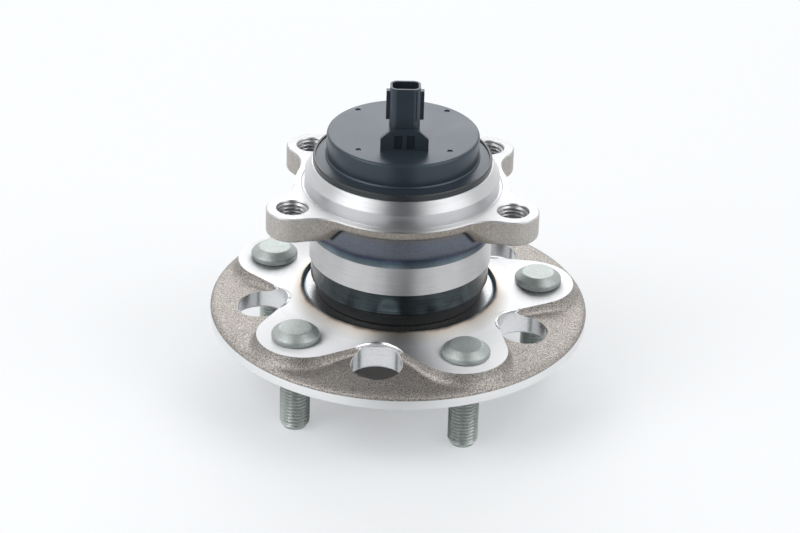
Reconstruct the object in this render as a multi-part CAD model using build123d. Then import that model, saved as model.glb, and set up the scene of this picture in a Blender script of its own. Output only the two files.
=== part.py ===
from build123d import *
import os
from math import acos, atan2, cos, degrees, radians, sin, sqrt

# Flanged wheel hub unit for a wheel that isn't driven, in millimetres.
# The origin is the middle of the wheel mounting face, on the bearing axis. +Z points to the knuckle side.

# Wheel studs and the wheel flange
STUD_COUNT = 5
STUD_CIRCLE_D = 114.3
STUD_PHASE = 8.2
STUD_THREAD_D = 12.0
STUD_REACH = 28.9
STUD_POINT = 1.0
STUD_KNURL_D = 14.3
STUD_KNURL_START = 0.6
STUD_HEAD_D = 18.9
STUD_HEAD_RIM = 2.4
STUD_HEAD_CROWN = 2.4
STUD_HEAD_FLAT_D = 12.8
FLANGE_D = 151.5
FLANGE_RIM = 4.2
FLANGE_BEVEL = 1.0
PLATE_RISE = 2.6
PLATE_INNER_RISE = 1.1
PAD_HEIGHT = 10.7
LOBE_CENTRE_R = 53.0
LOBE_R = 18.4
LOBE_FLANK_DROP = 1.8
LOBE_FLANK_OUT = 0.55
LOBE_SWEEP_DROP = 3.0
LOBE_SWEEP_OUT = 1.3
LOBE_TOE_DROP = 4.0
LOBE_TOE_OUT = 2.4
LOBE_FOOT_DROP = 5.1
LOBE_FOOT_OUT = 3.9
ACCESS_HOLE_CENTRE_R = 55.1
ACCESS_HOLE_D = 20.0
ACCESS_CHAMFER = 1.2
ACCESS_BACK_CHAMFER = 1.1
ACCESS_NOTCH_R = 10.2
CROWN_RISE = 2.9
CROWN_FOOT_R = 46.0
RECESS_D = 78.5
RECESS_DEPTH = 1.6
RECESS_FLOOR_D = 76.2

# Wheel pilot on the far side of the flange
WHEEL_PILOT_D = 60.0
WHEEL_PILOT_LENGTH = 16.0
WHEEL_PILOT_LEAD = 2.4
WHEEL_FACE_RELIEF = 0.8
WHEEL_FACE_RELIEF_W = 3.2
POCKET_MOUTH_D = 42.0
POCKET_FLOOR_D = 27.0
POCKET_DEPTH = 22.0

# Ball rows
BALL_D = 11.1125
BALL_COUNT = 12
PITCH_D = 52.0
CONTACT_ANGLE = 35.0
GROOVE_CONFORMITY = 0.52
RACE_GAP = 0.05
HIGH_SHOULDER = 3.95
LOW_SHOULDER = 0.6
ROW_OFFSET = 10.8
ROW_SPACING = 22.0
CAGE_POCKET_GAP = 0.15
CAGE_LAND_GAP = 1.2
CAGE_THICKNESS = 4.9
CAGE_FINGER = 3.2
CAGE_RIB = 1.9

# Outer ring
RING_STANDOFF = 6.1
RING_LENGTH = 50.5
SEAL_BAND_D = 71.0
SEAL_BAND_L = 9.6
GROUND_BAND_D = 72.6
GROUND_BAND_L = 11.8
BODY_D = 77.2
BODY_CONE_L = 5.0
PILOT_D = 77.0
PILOT_LENGTH = 9.7
PILOT_STRAIGHT = 5.2
PILOT_NOSE_D = 73.6
PILOT_END_D = 71.4
PILOT_END_CHAMFER = 2.0
PILOT_GROOVE_W = 1.4
PILOT_GROOVE_DEPTH = 0.5
RING_EDGE = 0.8

# Knuckle flange
KNUCKLE_FLANGE_D = 84.6
KNUCKLE_WEB = 3.9
KNUCKLE_BOSS = 10.6
KNUCKLE_BOLT_CIRCLE_D = 97.0
KNUCKLE_BOSS_R = 10.3
KNUCKLE_BLEND_R = 18.0
KNUCKLE_TOP_BREAK = 0.5
KNUCKLE_UNDER_FILLET = 1.6
KNUCKLE_ROOT_R = 14.0
KNUCKLE_ROOT_REACH = 29.0
KNUCKLE_BOSS_DRAFT = 38.0
KNUCKLE_NECK_R = 2.0
KNUCKLE_HOLE_D = 10.5
KNUCKLE_HOLE_CHAMFER = 1.2
KNUCKLE_NEAR_ANGLE = 28.0
KNUCKLE_FAR_ANGLE = 42.5

# Outboard seal and its slinger
SEAL_SEAT_STEP = 0.25
SEAL_SEAT_L = 5.0
SEAL_STEEL = 0.8
SEAL_LAND_STEP = 0.9
SLINGER_STEEL = 0.8
SLINGER_FLANGE_MARGIN = 0.6
SLINGER_SLEEVE_L = 8.3
LIP_SKIN = 1.0
LIP_TIP = 0.7
LIP_GAP = 0.3

# Spindle, inner ring and nut
STUB_D = 30.0
STUB_THREAD_D = 24.0
STUB_STEP_BACK = 11.0
INNER_RING_TAIL = 9.0
INNER_RING_EDGE = 0.6
NUT_FLATS = 34.0
NUT_SIDES = 6
NUT_HEIGHT = 8.0
NUT_COLLAR_D = 36.0
NUT_COLLAR_H = 1.6
STUB_PROUD = 1.4

# Encoder
ENCODER_STEEL = 0.7
ENCODER_SLEEVE_L = 3.0
ENCODER_OUTER_D = 58.8
ENCODER_MAGNET_T = 1.4
ENCODER_MAGNET_W = 4.6
SENSOR_AIR_GAP = 0.8

# Sensor cap
CAP_SLEEVE_OUTER_D = 64.0
CAP_STEEL = 0.8
CAP_SLEEVE_DEPTH = 6.2
CAP_RIM_D = 70.6
CAP_RIM_H = 2.5
CAP_RIM_FOLD = 1.0
CAP_SEAT_MARGIN = 2.4
CAP_D = 60.0
CAP_HEIGHT = 12.5
CAP_EDGE_R = 1.2
CAP_BEAD_STEP = 0.5
CAP_TOP_T = 2.6
CAP_SKIN = 1.8
CAP_SKIRT_GAP = 1.7
SEAL_GLAND = 2.2
SEAL_GLAND_ANGLE = 45.0
EJECTOR_D = 2.2
EJECTOR_DEPTH = 0.4
EJECTOR_X = 17.7
EJECTOR_FAR_Y = 19.7
EJECTOR_NEAR_Y = 16.1

# Connector on the cap
SOCKET_Y = -10.4
SOCKET_W = 11.8
SOCKET_DEPTH = 8.4
SOCKET_CORNER = 2.9
SOCKET_WALL = 0.85
SOCKET_TOP = 25.0
SOCKET_HOLLOW = 15.0
PEDESTAL_W = 18.6
PEDESTAL_FRONT = 2.4
PEDESTAL_BACK = 1.7
PEDESTAL_SHOULDER = 5.1
PEDESTAL_TOP = 8.2
PEDESTAL_POCKET_W = 3.2
PEDESTAL_POCKET_H = 6.0
PEDESTAL_POCKET_DEPTH = 1.4
PEDESTAL_RIB = 1.6
SIDE_RIB_OUT = 1.4
SIDE_RIB_T = 2.4
SIDE_RIB_TOP_GAP = 2.0
SIDE_RIB_LENGTH = 12.0
KEY_SLOT_W = 0.8
KEY_SLOT_DEPTH = 0.5
KEY_SLOT_X = 4.4
KEY_SLOT_LENGTH = 12.6
LATCH_W = 4.0
LATCH_OUT = 1.1
LATCH_H = 3.4
LATCH_DROP = 3.0

# Sensor inside the cap
TERMINAL_W = 1.2
TERMINAL_T = 0.64
TERMINAL_PITCH = 4.0
TERMINAL_TOP_GAP = 5.0
CARRIER_W = 9.0
CARRIER_T = 3.0
CARRIER_WALL_GAP = 0.3
CARRIER_ARM_T = 3.6
CARRIER_ARM_BACK = 3.0
CHIP_W = 4.4
CHIP_T = 1.6
CHIP_H = 4.0

# Radii and heights that follow from the sizes above
FULL_TURN = 360.0
HALF_TURN = FULL_TURN / 2
MIDDLE_ABOVE = 1
MIDDLE_BELOW = -1
STUD_STEP = FULL_TURN / STUD_COUNT
STUD_R = STUD_CIRCLE_D / 2
BALL_R = BALL_D / 2
PITCH_R = PITCH_D / 2
GROOVE_R = GROOVE_CONFORMITY * BALL_D
GROOVE_SHIFT = GROOVE_R - BALL_R - RACE_GAP
INNER_BOTTOM_R = PITCH_R - BALL_R
OUTER_BOTTOM_R = PITCH_R + BALL_R
INNER_HIGH_R = INNER_BOTTOM_R + HIGH_SHOULDER
INNER_LOW_R = INNER_BOTTOM_R + LOW_SHOULDER
OUTER_HIGH_R = OUTER_BOTTOM_R - HIGH_SHOULDER
OUTER_LOW_R = OUTER_BOTTOM_R - LOW_SHOULDER
SEAL_SEAT_R = OUTER_BOTTOM_R + SEAL_SEAT_STEP
SEAL_LAND_R = INNER_HIGH_R + SEAL_LAND_STEP
CROWN_Z = PAD_HEIGHT + CROWN_RISE
RECESS_Z = CROWN_Z - RECESS_DEPTH
RING_START = RECESS_Z + RING_STANDOFF
RING_END = RING_START + RING_LENGTH
KNUCKLE_FACE_Z = RING_END - PILOT_LENGTH
OUTBOARD_ROW_Z = RING_START + ROW_OFFSET
INBOARD_ROW_Z = OUTBOARD_ROW_Z + ROW_SPACING
SPLIT_Z = INBOARD_ROW_Z - STUB_STEP_BACK
INNER_RING_END = INBOARD_ROW_Z + INNER_RING_TAIL
STUB_END = INNER_RING_END + NUT_HEIGHT + STUB_PROUD
CAP_SLEEVE_R = CAP_SLEEVE_OUTER_D / 2
CAP_BORE_R = CAP_SLEEVE_R - CAP_STEEL
CAP_RIM_TOP = RING_END + CAP_RIM_H
CAP_TOP = RING_END + CAP_HEIGHT
CAP_CEILING = CAP_TOP - CAP_TOP_T
SLINGER_TOP = RECESS_Z + SLINGER_STEEL
SLINGER_FLANGE_R = RECESS_FLOOR_D / 2 - SLINGER_FLANGE_MARGIN
SLINGER_SLEEVE_R = SEAL_LAND_R + SLINGER_STEEL
ENCODER_PLATE_Z = INNER_RING_END
ENCODER_FACE_Z = ENCODER_PLATE_Z + ENCODER_STEEL + ENCODER_MAGNET_T
SENSOR_Z = ENCODER_FACE_Z + SENSOR_AIR_GAP
CAP_HOLLOW_R = CAP_D / 2 - CAP_SKIN
CARRIER_REACH = sqrt(CAP_HOLLOW_R ** 2 - (CARRIER_W / 2) ** 2) - CARRIER_WALL_GAP
CHIP_Y = CARRIER_T / 2 - CARRIER_REACH
SOCKET_MOUTH_Z = CAP_TOP + SOCKET_TOP
SOCKET_FLOOR_Z = SOCKET_MOUTH_Z - SOCKET_HOLLOW
KNUCKLE_ANGLES = (
    -KNUCKLE_NEAR_ANGLE,
    KNUCKLE_FAR_ANGLE,
    HALF_TURN - KNUCKLE_FAR_ANGLE,
    HALF_TURN + KNUCKLE_NEAR_ANGLE,
)


def polar(radius, angle):
    """Point in the XY plane at a radius and an angle in degrees."""
    return (radius * cos(radians(angle)), radius * sin(radians(angle)))


def turned(points):
    """Solid of revolution about Z whose section has the given (radius, height) corners."""
    section = make_face(Polyline([(r, 0, z) for r, z in points], close=True))
    return revolve(section, Axis.Z)


def tube(outer_r, inner_r, low, high):
    """Plain ring between two radii and two heights."""
    return turned([(inner_r, low), (outer_r, low), (outer_r, high), (inner_r, high)])


def solid_part(shape):
    """The single solid of a shape, without the wrapper of the operation that made it."""
    return shape.solids()[0]


def at_stud(index, offset=0.0):
    """Angle of a stud, or of the gap beside it when offset is half a step."""
    return STUD_PHASE + (index + offset) * STUD_STEP


def circle_join(centre_a, radius_a, centre_b, radius_b, side):
    """Touch points of the straight line that crosses between two circles, on one side."""
    dx = centre_b[0] - centre_a[0]
    dy = centre_b[1] - centre_a[1]
    reach = sqrt(dx * dx + dy * dy)
    angle = atan2(dy, dx) + side * acos((radius_a + radius_b) / reach)
    touch_a = (centre_a[0] + radius_a * cos(angle), centre_a[1] + radius_a * sin(angle))
    touch_b = (centre_b[0] - radius_b * cos(angle), centre_b[1] - radius_b * sin(angle))
    return touch_a, touch_b


def hub_lobe_outline(grow, height):
    """Outline with a lobe at each stud and a notch at each access hole, grown outward, at a height."""
    lobe_r = LOBE_R + grow
    notch_r = ACCESS_NOTCH_R - grow
    edges = []
    for index in range(STUD_COUNT):
        lobe = polar(LOBE_CENTRE_R, at_stud(index))
        notch = polar(ACCESS_HOLE_CENTRE_R, at_stud(index, 0.5))
        next_lobe = polar(LOBE_CENTRE_R, at_stud(index + 1))
        last_notch = polar(ACCESS_HOLE_CENTRE_R, at_stud(index, -0.5))
        lobe_start, _ = circle_join(lobe, lobe_r, last_notch, notch_r, 1)
        lobe_end, notch_start = circle_join(lobe, lobe_r, notch, notch_r, -1)
        next_start, notch_end = circle_join(next_lobe, lobe_r, notch, notch_r, 1)
        lobe_tip = polar(LOBE_CENTRE_R + lobe_r, at_stud(index))
        notch_root = polar(ACCESS_HOLE_CENTRE_R - notch_r, at_stud(index, 0.5))
        edges.append(ThreePointArc(lobe_start, lobe_tip, lobe_end))
        edges.append(Line(lobe_end, notch_start))
        edges.append(ThreePointArc(notch_start, notch_root, notch_end))
        edges.append(Line(notch_end, next_start))
    return Pos(0, 0, height) * make_face(edges)


def hub_plate():
    """Forged wheel flange: a thin turned rim and a plate that rises gently towards the hub."""
    rim_r = FLANGE_D / 2
    plate_edge = FLANGE_RIM + FLANGE_BEVEL
    plate_foot = plate_edge + PLATE_RISE - PLATE_INNER_RISE
    plate_top = plate_edge + PLATE_RISE
    relief_out = WHEEL_PILOT_D / 2 + WHEEL_FACE_RELIEF_W
    return turned([
        (0, WHEEL_FACE_RELIEF),
        (relief_out, WHEEL_FACE_RELIEF),
        (relief_out + WHEEL_FACE_RELIEF, 0),
        (rim_r - WHEEL_FACE_RELIEF, 0),
        (rim_r, WHEEL_FACE_RELIEF),
        (rim_r, FLANGE_RIM),
        (rim_r - FLANGE_BEVEL, plate_edge),
        (LOBE_CENTRE_R + LOBE_R / 2, plate_foot),
        (LOBE_CENTRE_R, plate_top),
        (0, plate_top),
    ])


def hub_lobes():
    """Upper part of the hub: machined lobes with swept forged flanks, and a crown up to the recess."""
    flank = loft([
        hub_lobe_outline(LOBE_FOOT_OUT, PAD_HEIGHT - LOBE_FOOT_DROP),
        hub_lobe_outline(LOBE_TOE_OUT, PAD_HEIGHT - LOBE_TOE_DROP),
        hub_lobe_outline(LOBE_SWEEP_OUT, PAD_HEIGHT - LOBE_SWEEP_DROP),
        hub_lobe_outline(LOBE_FLANK_OUT, PAD_HEIGHT - LOBE_FLANK_DROP),
        hub_lobe_outline(0, PAD_HEIGHT),
    ])
    top = extrude(hub_lobe_outline(0, PAD_HEIGHT), CROWN_RISE)
    reach = LOBE_CENTRE_R + LOBE_R + PAD_HEIGHT
    edge_r = RECESS_D / 2
    slope = make_face([
        Line((0, 0, 0), (reach, 0, 0)),
        Line((reach, 0, 0), (reach, 0, PAD_HEIGHT)),
        Line((reach, 0, PAD_HEIGHT), (CROWN_FOOT_R, 0, PAD_HEIGHT)),
        TangentArc((CROWN_FOOT_R, 0, PAD_HEIGHT), (edge_r, 0, CROWN_Z), tangent=(-1, 0, 0)),
        Line((edge_r, 0, CROWN_Z), (0, 0, CROWN_Z)),
        Line((0, 0, CROWN_Z), (0, 0, 0)),
    ])
    crown = revolve(slope, Axis.Z)
    return (flank + top) & crown


def spindle():
    """Seal land, outboard raceway shoulder, stub for the inner ring and core of the nut's thread."""
    stub_r = STUB_D / 2
    thread_r = STUB_THREAD_D / 2
    high_end = OUTBOARD_ROW_Z
    body = turned([
        (0, 0),
        (SEAL_LAND_R, 0),
        (SEAL_LAND_R, SLINGER_TOP + SLINGER_SLEEVE_L),
        (INNER_HIGH_R, SLINGER_TOP + SLINGER_SLEEVE_L + SEAL_LAND_STEP),
        (INNER_HIGH_R, high_end),
        (INNER_LOW_R, high_end),
        (INNER_LOW_R, SPLIT_Z),
        (stub_r, SPLIT_Z),
        (stub_r, INNER_RING_END),
        (thread_r, INNER_RING_END),
        (thread_r, STUB_END - STUD_POINT),
        (thread_r - STUD_POINT, STUB_END),
        (0, STUB_END),
    ])
    return body - inner_groove(OUTBOARD_ROW_Z, MIDDLE_ABOVE)


def inner_groove(row_z, middle_side):
    """Raceway torus of an inner ring. middle_side is the row's side on which the bearing's middle lies."""
    radius = PITCH_R + GROOVE_SHIFT * cos(radians(CONTACT_ANGLE))
    height = row_z + middle_side * GROOVE_SHIFT * sin(radians(CONTACT_ANGLE))
    return Pos(0, 0, height) * Torus(radius, GROOVE_R)


def outer_groove(row_z, middle_side):
    """Raceway torus of the outer ring, shifted the other way, for back-to-back contact lines."""
    radius = PITCH_R - GROOVE_SHIFT * cos(radians(CONTACT_ANGLE))
    height = row_z - middle_side * GROOVE_SHIFT * sin(radians(CONTACT_ANGLE))
    return Pos(0, 0, height) * Torus(radius, GROOVE_R)


def wheel_pilot():
    """Pilot that centres the brake disc and the wheel, with the forging pocket inside it."""
    pilot_r = WHEEL_PILOT_D / 2
    return turned([
        (0, -WHEEL_PILOT_LENGTH),
        (pilot_r - WHEEL_PILOT_LEAD / 2, -WHEEL_PILOT_LENGTH),
        (pilot_r, -WHEEL_PILOT_LENGTH + WHEEL_PILOT_LEAD),
        (pilot_r, PAD_HEIGHT),
        (0, PAD_HEIGHT),
    ])


def forging_pocket():
    """Drafted round pocket in the wheel pilot, with a rounded floor edge."""
    mouth = -WHEEL_PILOT_LENGTH
    floor = mouth + POCKET_DEPTH
    corner = POCKET_FLOOR_D / 2 - WHEEL_PILOT_LEAD
    return turned([
        (0, mouth),
        (POCKET_MOUTH_D / 2, mouth),
        (POCKET_FLOOR_D / 2, floor - WHEEL_PILOT_LEAD),
        (corner, floor),
        (0, floor),
    ])


def access_hole(index):
    """One access hole through the flange, with a countersink that only meets the high machined face."""
    bore_r = ACCESS_HOLE_D / 2
    x, y = polar(ACCESS_HOLE_CENTRE_R, at_stud(index, 0.5))
    bore = Cylinder(bore_r, 4 * PAD_HEIGHT)
    mouth = turned([
        (0, PAD_HEIGHT - ACCESS_CHAMFER),
        (bore_r, PAD_HEIGHT - ACCESS_CHAMFER),
        (bore_r + ACCESS_CHAMFER + CROWN_RISE, CROWN_Z),
        (0, CROWN_Z),
    ])
    back = turned([
        (0, 0),
        (bore_r + ACCESS_BACK_CHAMFER, 0),
        (bore_r, ACCESS_BACK_CHAMFER),
        (0, ACCESS_BACK_CHAMFER),
    ])
    return Pos(x, y, 0) * (bore + mouth + back)


def stud_hole(index):
    """Pressed hole of one wheel stud, through the flange."""
    x, y = polar(STUD_R, at_stud(index))
    return Pos(x, y, PAD_HEIGHT / 2) * Cylinder(STUD_KNURL_D / 2, 4 * PAD_HEIGHT)


def hub_flange():
    """The whole hub: flange, lobes, seal recess, spindle, wheel pilot and all its holes."""
    body = hub_plate() + hub_lobes() + wheel_pilot()
    recess = turned([
        (0, RECESS_Z),
        (RECESS_FLOOR_D / 2, RECESS_Z),
        (RECESS_D / 2, CROWN_Z),
        (RECESS_D / 2, STUB_END),
        (0, STUB_END),
    ])
    body = body - recess + spindle()
    body -= forging_pocket()
    for index in range(STUD_COUNT):
        body = body - access_hole(index) - stud_hole(index)
    return solid_part(body)


def wheel_studs():
    """Five wheel studs: domed head, knurled shank and plain core of the threaded end."""
    head_r = STUD_HEAD_D / 2
    rim_top = PAD_HEIGHT + STUD_HEAD_RIM
    thread_r = STUD_THREAD_D / 2
    stud = turned([
        (0, -STUD_REACH),
        (thread_r - STUD_POINT, -STUD_REACH),
        (thread_r, -STUD_REACH + STUD_POINT),
        (thread_r, STUD_KNURL_START),
        (STUD_KNURL_D / 2, STUD_KNURL_START),
        (STUD_KNURL_D / 2, PAD_HEIGHT),
        (head_r, PAD_HEIGHT),
        (head_r, rim_top),
        (STUD_HEAD_FLAT_D / 2, rim_top + STUD_HEAD_CROWN),
        (0, rim_top + STUD_HEAD_CROWN),
    ])
    studs = []
    for index in range(STUD_COUNT):
        x, y = polar(STUD_R, at_stud(index))
        studs.append(Pos(x, y, 0) * solid_part(stud))
    return Compound(studs)


def inner_ring():
    """Separate inner ring of the inboard row, butted against the spindle shoulder."""
    bore = STUB_D / 2
    edge = INNER_RING_EDGE
    body = turned([
        (bore, SPLIT_Z + edge),
        (bore + edge, SPLIT_Z),
        (INNER_LOW_R, SPLIT_Z),
        (INNER_LOW_R, INBOARD_ROW_Z),
        (INNER_HIGH_R, INBOARD_ROW_Z),
        (INNER_HIGH_R, INNER_RING_END),
        (bore, INNER_RING_END),
    ])
    return solid_part(body - inner_groove(INBOARD_ROW_Z, MIDDLE_BELOW))


def spindle_nut():
    """Hexagon nut with a round collar, tight on the inner ring's end face."""
    low = INNER_RING_END + NUT_COLLAR_H
    height = NUT_HEIGHT - NUT_COLLAR_H
    collar = Pos(0, 0, low - NUT_COLLAR_H / 2) * Cylinder(NUT_COLLAR_D / 2, NUT_COLLAR_H)
    outline = RegularPolygon(NUT_FLATS / 2, NUT_SIDES, major_radius=False)
    hexagon = Pos(0, 0, low) * extrude(outline, height)
    bore = Pos(0, 0, low) * Cylinder(STUB_THREAD_D / 2, 2 * NUT_HEIGHT)
    corner_r = NUT_FLATS / 2 / cos(radians(HALF_TURN / NUT_SIDES))
    top = INNER_RING_END + NUT_HEIGHT
    crown = turned([
        (0, INNER_RING_END),
        (corner_r, INNER_RING_END),
        (corner_r, top - NUT_COLLAR_H),
        (NUT_FLATS / 2, top),
        (0, top),
    ])
    return solid_part((collar + hexagon - bore) & crown)


def ball_group(row_z):
    """One row of balls, each its own solid."""
    balls = []
    for index in range(BALL_COUNT):
        x, y = polar(PITCH_R, index * FULL_TURN / BALL_COUNT)
        balls.append(Pos(x, y, row_z) * solid_part(Sphere(BALL_R)))
    return Compound(balls)


def cage(row_z, middle_side):
    """Snap cage: a ring on the middle side of the row with fingers that reach between the balls."""
    inner_r = INNER_LOW_R + CAGE_LAND_GAP
    rib_z = row_z + middle_side * (BALL_R + CAGE_RIB)
    finger_z = row_z - middle_side * CAGE_FINGER
    low = min(rib_z, finger_z)
    high = max(rib_z, finger_z)
    body = tube(inner_r + CAGE_THICKNESS, inner_r, low, high)
    for index in range(BALL_COUNT):
        x, y = polar(PITCH_R, index * FULL_TURN / BALL_COUNT)
        body -= Pos(x, y, row_z) * Sphere(BALL_R + CAGE_POCKET_GAP)
    return solid_part(body)


def outer_ring_blank():
    """Turned outside of the outer ring, from the seal end to the pilot nose."""
    seal_r = SEAL_BAND_D / 2
    ground_r = GROUND_BAND_D / 2
    body_r = BODY_D / 2
    band_end = RING_START + SEAL_BAND_L
    ground_end = band_end + GROUND_BAND_L
    return turned([
        (0, RING_START),
        (seal_r - RING_EDGE, RING_START),
        (seal_r, RING_START + RING_EDGE),
        (seal_r, band_end),
        (ground_r, band_end),
        (ground_r, ground_end),
        (body_r, ground_end + BODY_CONE_L),
        (body_r, KNUCKLE_FACE_Z - KNUCKLE_WEB - KNUCKLE_NECK_R),
        (body_r + KNUCKLE_NECK_R, KNUCKLE_FACE_Z - KNUCKLE_WEB),
        (body_r + KNUCKLE_NECK_R, KNUCKLE_FACE_Z),
        (PILOT_D / 2, KNUCKLE_FACE_Z),
        (PILOT_D / 2, KNUCKLE_FACE_Z + PILOT_STRAIGHT),
        (PILOT_NOSE_D / 2, RING_END - PILOT_END_CHAMFER),
        (PILOT_END_D / 2, RING_END),
        (0, RING_END),
    ])


def outer_ring_bore():
    """Everything inside the outer ring: seal seat, lands, both raceways and the cap's seat."""
    cap_seat_start = RING_END - CAP_SLEEVE_DEPTH - CAP_SEAT_MARGIN
    bore = turned([
        (0, RING_START),
        (SEAL_SEAT_R, RING_START),
        (SEAL_SEAT_R, RING_START + SEAL_SEAT_L),
        (OUTER_LOW_R, RING_START + SEAL_SEAT_L),
        (OUTER_LOW_R, OUTBOARD_ROW_Z),
        (OUTER_HIGH_R, OUTBOARD_ROW_Z),
        (OUTER_HIGH_R, INBOARD_ROW_Z),
        (OUTER_LOW_R, INBOARD_ROW_Z),
        (OUTER_LOW_R, cap_seat_start),
        (CAP_SLEEVE_R, cap_seat_start),
        (CAP_SLEEVE_R, RING_END - SEAL_GLAND),
        (CAP_SLEEVE_R + SEAL_GLAND, RING_END),
        (0, RING_END),
    ])
    return bore + outer_groove(OUTBOARD_ROW_Z, MIDDLE_ABOVE) + outer_groove(INBOARD_ROW_Z, MIDDLE_BELOW)


def blend_points(boss_angle, side):
    """Ends and middle of the concave arc between the flange circle and one side of a boss."""
    base_r = KNUCKLE_FLANGE_D / 2
    bolt_r = KNUCKLE_BOLT_CIRCLE_D / 2
    far = base_r + KNUCKLE_BLEND_R
    near = KNUCKLE_BOSS_R + KNUCKLE_BLEND_R
    swing = degrees(acos((far ** 2 + bolt_r ** 2 - near ** 2) / (2 * far * bolt_r)))
    centre_angle = boss_angle + side * swing
    centre = Vector(*polar(far, centre_angle))
    boss = Vector(*polar(bolt_r, boss_angle))
    on_base = Vector(*polar(base_r, centre_angle))
    on_boss = boss + (centre - boss).normalized() * KNUCKLE_BOSS_R
    chord_middle = (on_base + on_boss) / 2
    middle = centre + (chord_middle - centre).normalized() * KNUCKLE_BLEND_R
    return on_base, middle, on_boss


def knuckle_outline():
    """Outline of the knuckle flange: a circle with four bosses, joined by concave arcs."""
    base_r = KNUCKLE_FLANGE_D / 2
    edges = []
    count = len(KNUCKLE_ANGLES)
    for index, angle in enumerate(KNUCKLE_ANGLES):
        start, start_middle, boss_start = blend_points(angle, -1)
        end, end_middle, boss_end = blend_points(angle, 1)
        tip = Vector(*polar(KNUCKLE_BOLT_CIRCLE_D / 2 + KNUCKLE_BOSS_R, angle))
        next_angle = KNUCKLE_ANGLES[(index + 1) % count]
        next_start, _, _ = blend_points(next_angle, -1)
        from_angle = degrees(atan2(end.Y, end.X))
        gap = (degrees(atan2(next_start.Y, next_start.X)) - from_angle) % FULL_TURN
        waist = Vector(*polar(base_r, from_angle + gap / 2))
        edges.append(ThreePointArc(start, start_middle, boss_start))
        edges.append(ThreePointArc(boss_start, tip, boss_end))
        edges.append(ThreePointArc(boss_end, end_middle, end))
        edges.append(ThreePointArc(end, waist, next_start))
    return make_face(edges)


def knuckle_boss(angle):
    """Thick part of the knuckle flange under one tapped hole, its drafted flanks running in to the ring."""
    bolt_r = KNUCKLE_BOLT_CIRCLE_D / 2
    outer = Pos(*polar(bolt_r, angle)) * Circle(KNUCKLE_BOSS_R)
    root = Pos(*polar(KNUCKLE_ROOT_REACH, angle)) * Circle(KNUCKLE_ROOT_R)
    outline = make_hull((outer + root).edges())
    low = KNUCKLE_FACE_Z - KNUCKLE_BOSS
    return Pos(0, 0, low) * extrude(outline, KNUCKLE_BOSS - KNUCKLE_WEB / 2, taper=-KNUCKLE_BOSS_DRAFT)


def knuckle_flange():
    """Knuckle flange: a thin web with the full outline, and four bosses trimmed to the same outline."""
    low = KNUCKLE_FACE_Z - KNUCKLE_BOSS
    web = extrude(Pos(0, 0, KNUCKLE_FACE_Z - KNUCKLE_WEB) * knuckle_outline(), KNUCKLE_WEB)
    web = chamfer(web.faces().sort_by(Axis.Z)[-1].edges(), KNUCKLE_TOP_BREAK)
    block = extrude(Pos(0, 0, low) * knuckle_outline(), KNUCKLE_BOSS - KNUCKLE_TOP_BREAK)
    block = fillet(block.faces().sort_by(Axis.Z)[0].edges(), KNUCKLE_UNDER_FILLET)
    bosses = knuckle_boss(KNUCKLE_ANGLES[0])
    for angle in KNUCKLE_ANGLES[1:]:
        bosses += knuckle_boss(angle)
    return web + (bosses & block)


def knuckle_hole(angle):
    """Tapped through hole, drawn at its thread's core size, with a countersunk mouth at both ends."""
    x, y = polar(KNUCKLE_BOLT_CIRCLE_D / 2, angle)
    core_r = KNUCKLE_HOLE_D / 2
    mouth_r = core_r + KNUCKLE_HOLE_CHAMFER
    low = KNUCKLE_FACE_Z - KNUCKLE_BOSS
    hole = turned([
        (0, low),
        (mouth_r, low),
        (core_r, low + KNUCKLE_HOLE_CHAMFER),
        (core_r, KNUCKLE_FACE_Z - KNUCKLE_HOLE_CHAMFER),
        (mouth_r, KNUCKLE_FACE_Z),
        (0, KNUCKLE_FACE_Z),
    ])
    return Pos(x, y, 0) * hole


def outer_ring():
    """Outer ring with its knuckle flange, tapped holes, pilot and bore."""
    body = outer_ring_blank() + knuckle_flange()
    for angle in KNUCKLE_ANGLES:
        body -= knuckle_hole(angle)
    groove_r = PILOT_D / 2 + PILOT_GROOVE_W
    body -= tube(groove_r, PILOT_D / 2, KNUCKLE_FACE_Z - PILOT_GROOVE_DEPTH, KNUCKLE_FACE_Z)
    return solid_part(body - outer_ring_bore())


def outboard_seal_slinger():
    """Stainless slinger: a sleeve on the seal land and a flange on the recess floor."""
    sleeve_end = RECESS_Z + SLINGER_SLEEVE_L
    return solid_part(turned([
        (SEAL_LAND_R, RECESS_Z),
        (SLINGER_FLANGE_R, RECESS_Z),
        (SLINGER_FLANGE_R, SLINGER_TOP),
        (SLINGER_SLEEVE_R, SLINGER_TOP),
        (SLINGER_SLEEVE_R, sleeve_end),
        (SEAL_LAND_R, sleeve_end),
    ]))


def outboard_seal_core():
    """Pressed steel core of the outboard seal: a sleeve in the outer ring and an inward flange."""
    sleeve_in = SEAL_SEAT_R - SEAL_STEEL
    inner_r = (SLINGER_SLEEVE_R + sleeve_in) / 2
    return solid_part(turned([
        (inner_r, RING_START),
        (SEAL_SEAT_R, RING_START),
        (SEAL_SEAT_R, RING_START + SEAL_SEAT_L - SEAL_STEEL),
        (sleeve_in, RING_START + SEAL_SEAT_L - SEAL_STEEL),
        (sleeve_in, RING_START + SEAL_STEEL),
        (inner_r, RING_START + SEAL_STEEL),
    ]))


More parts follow.
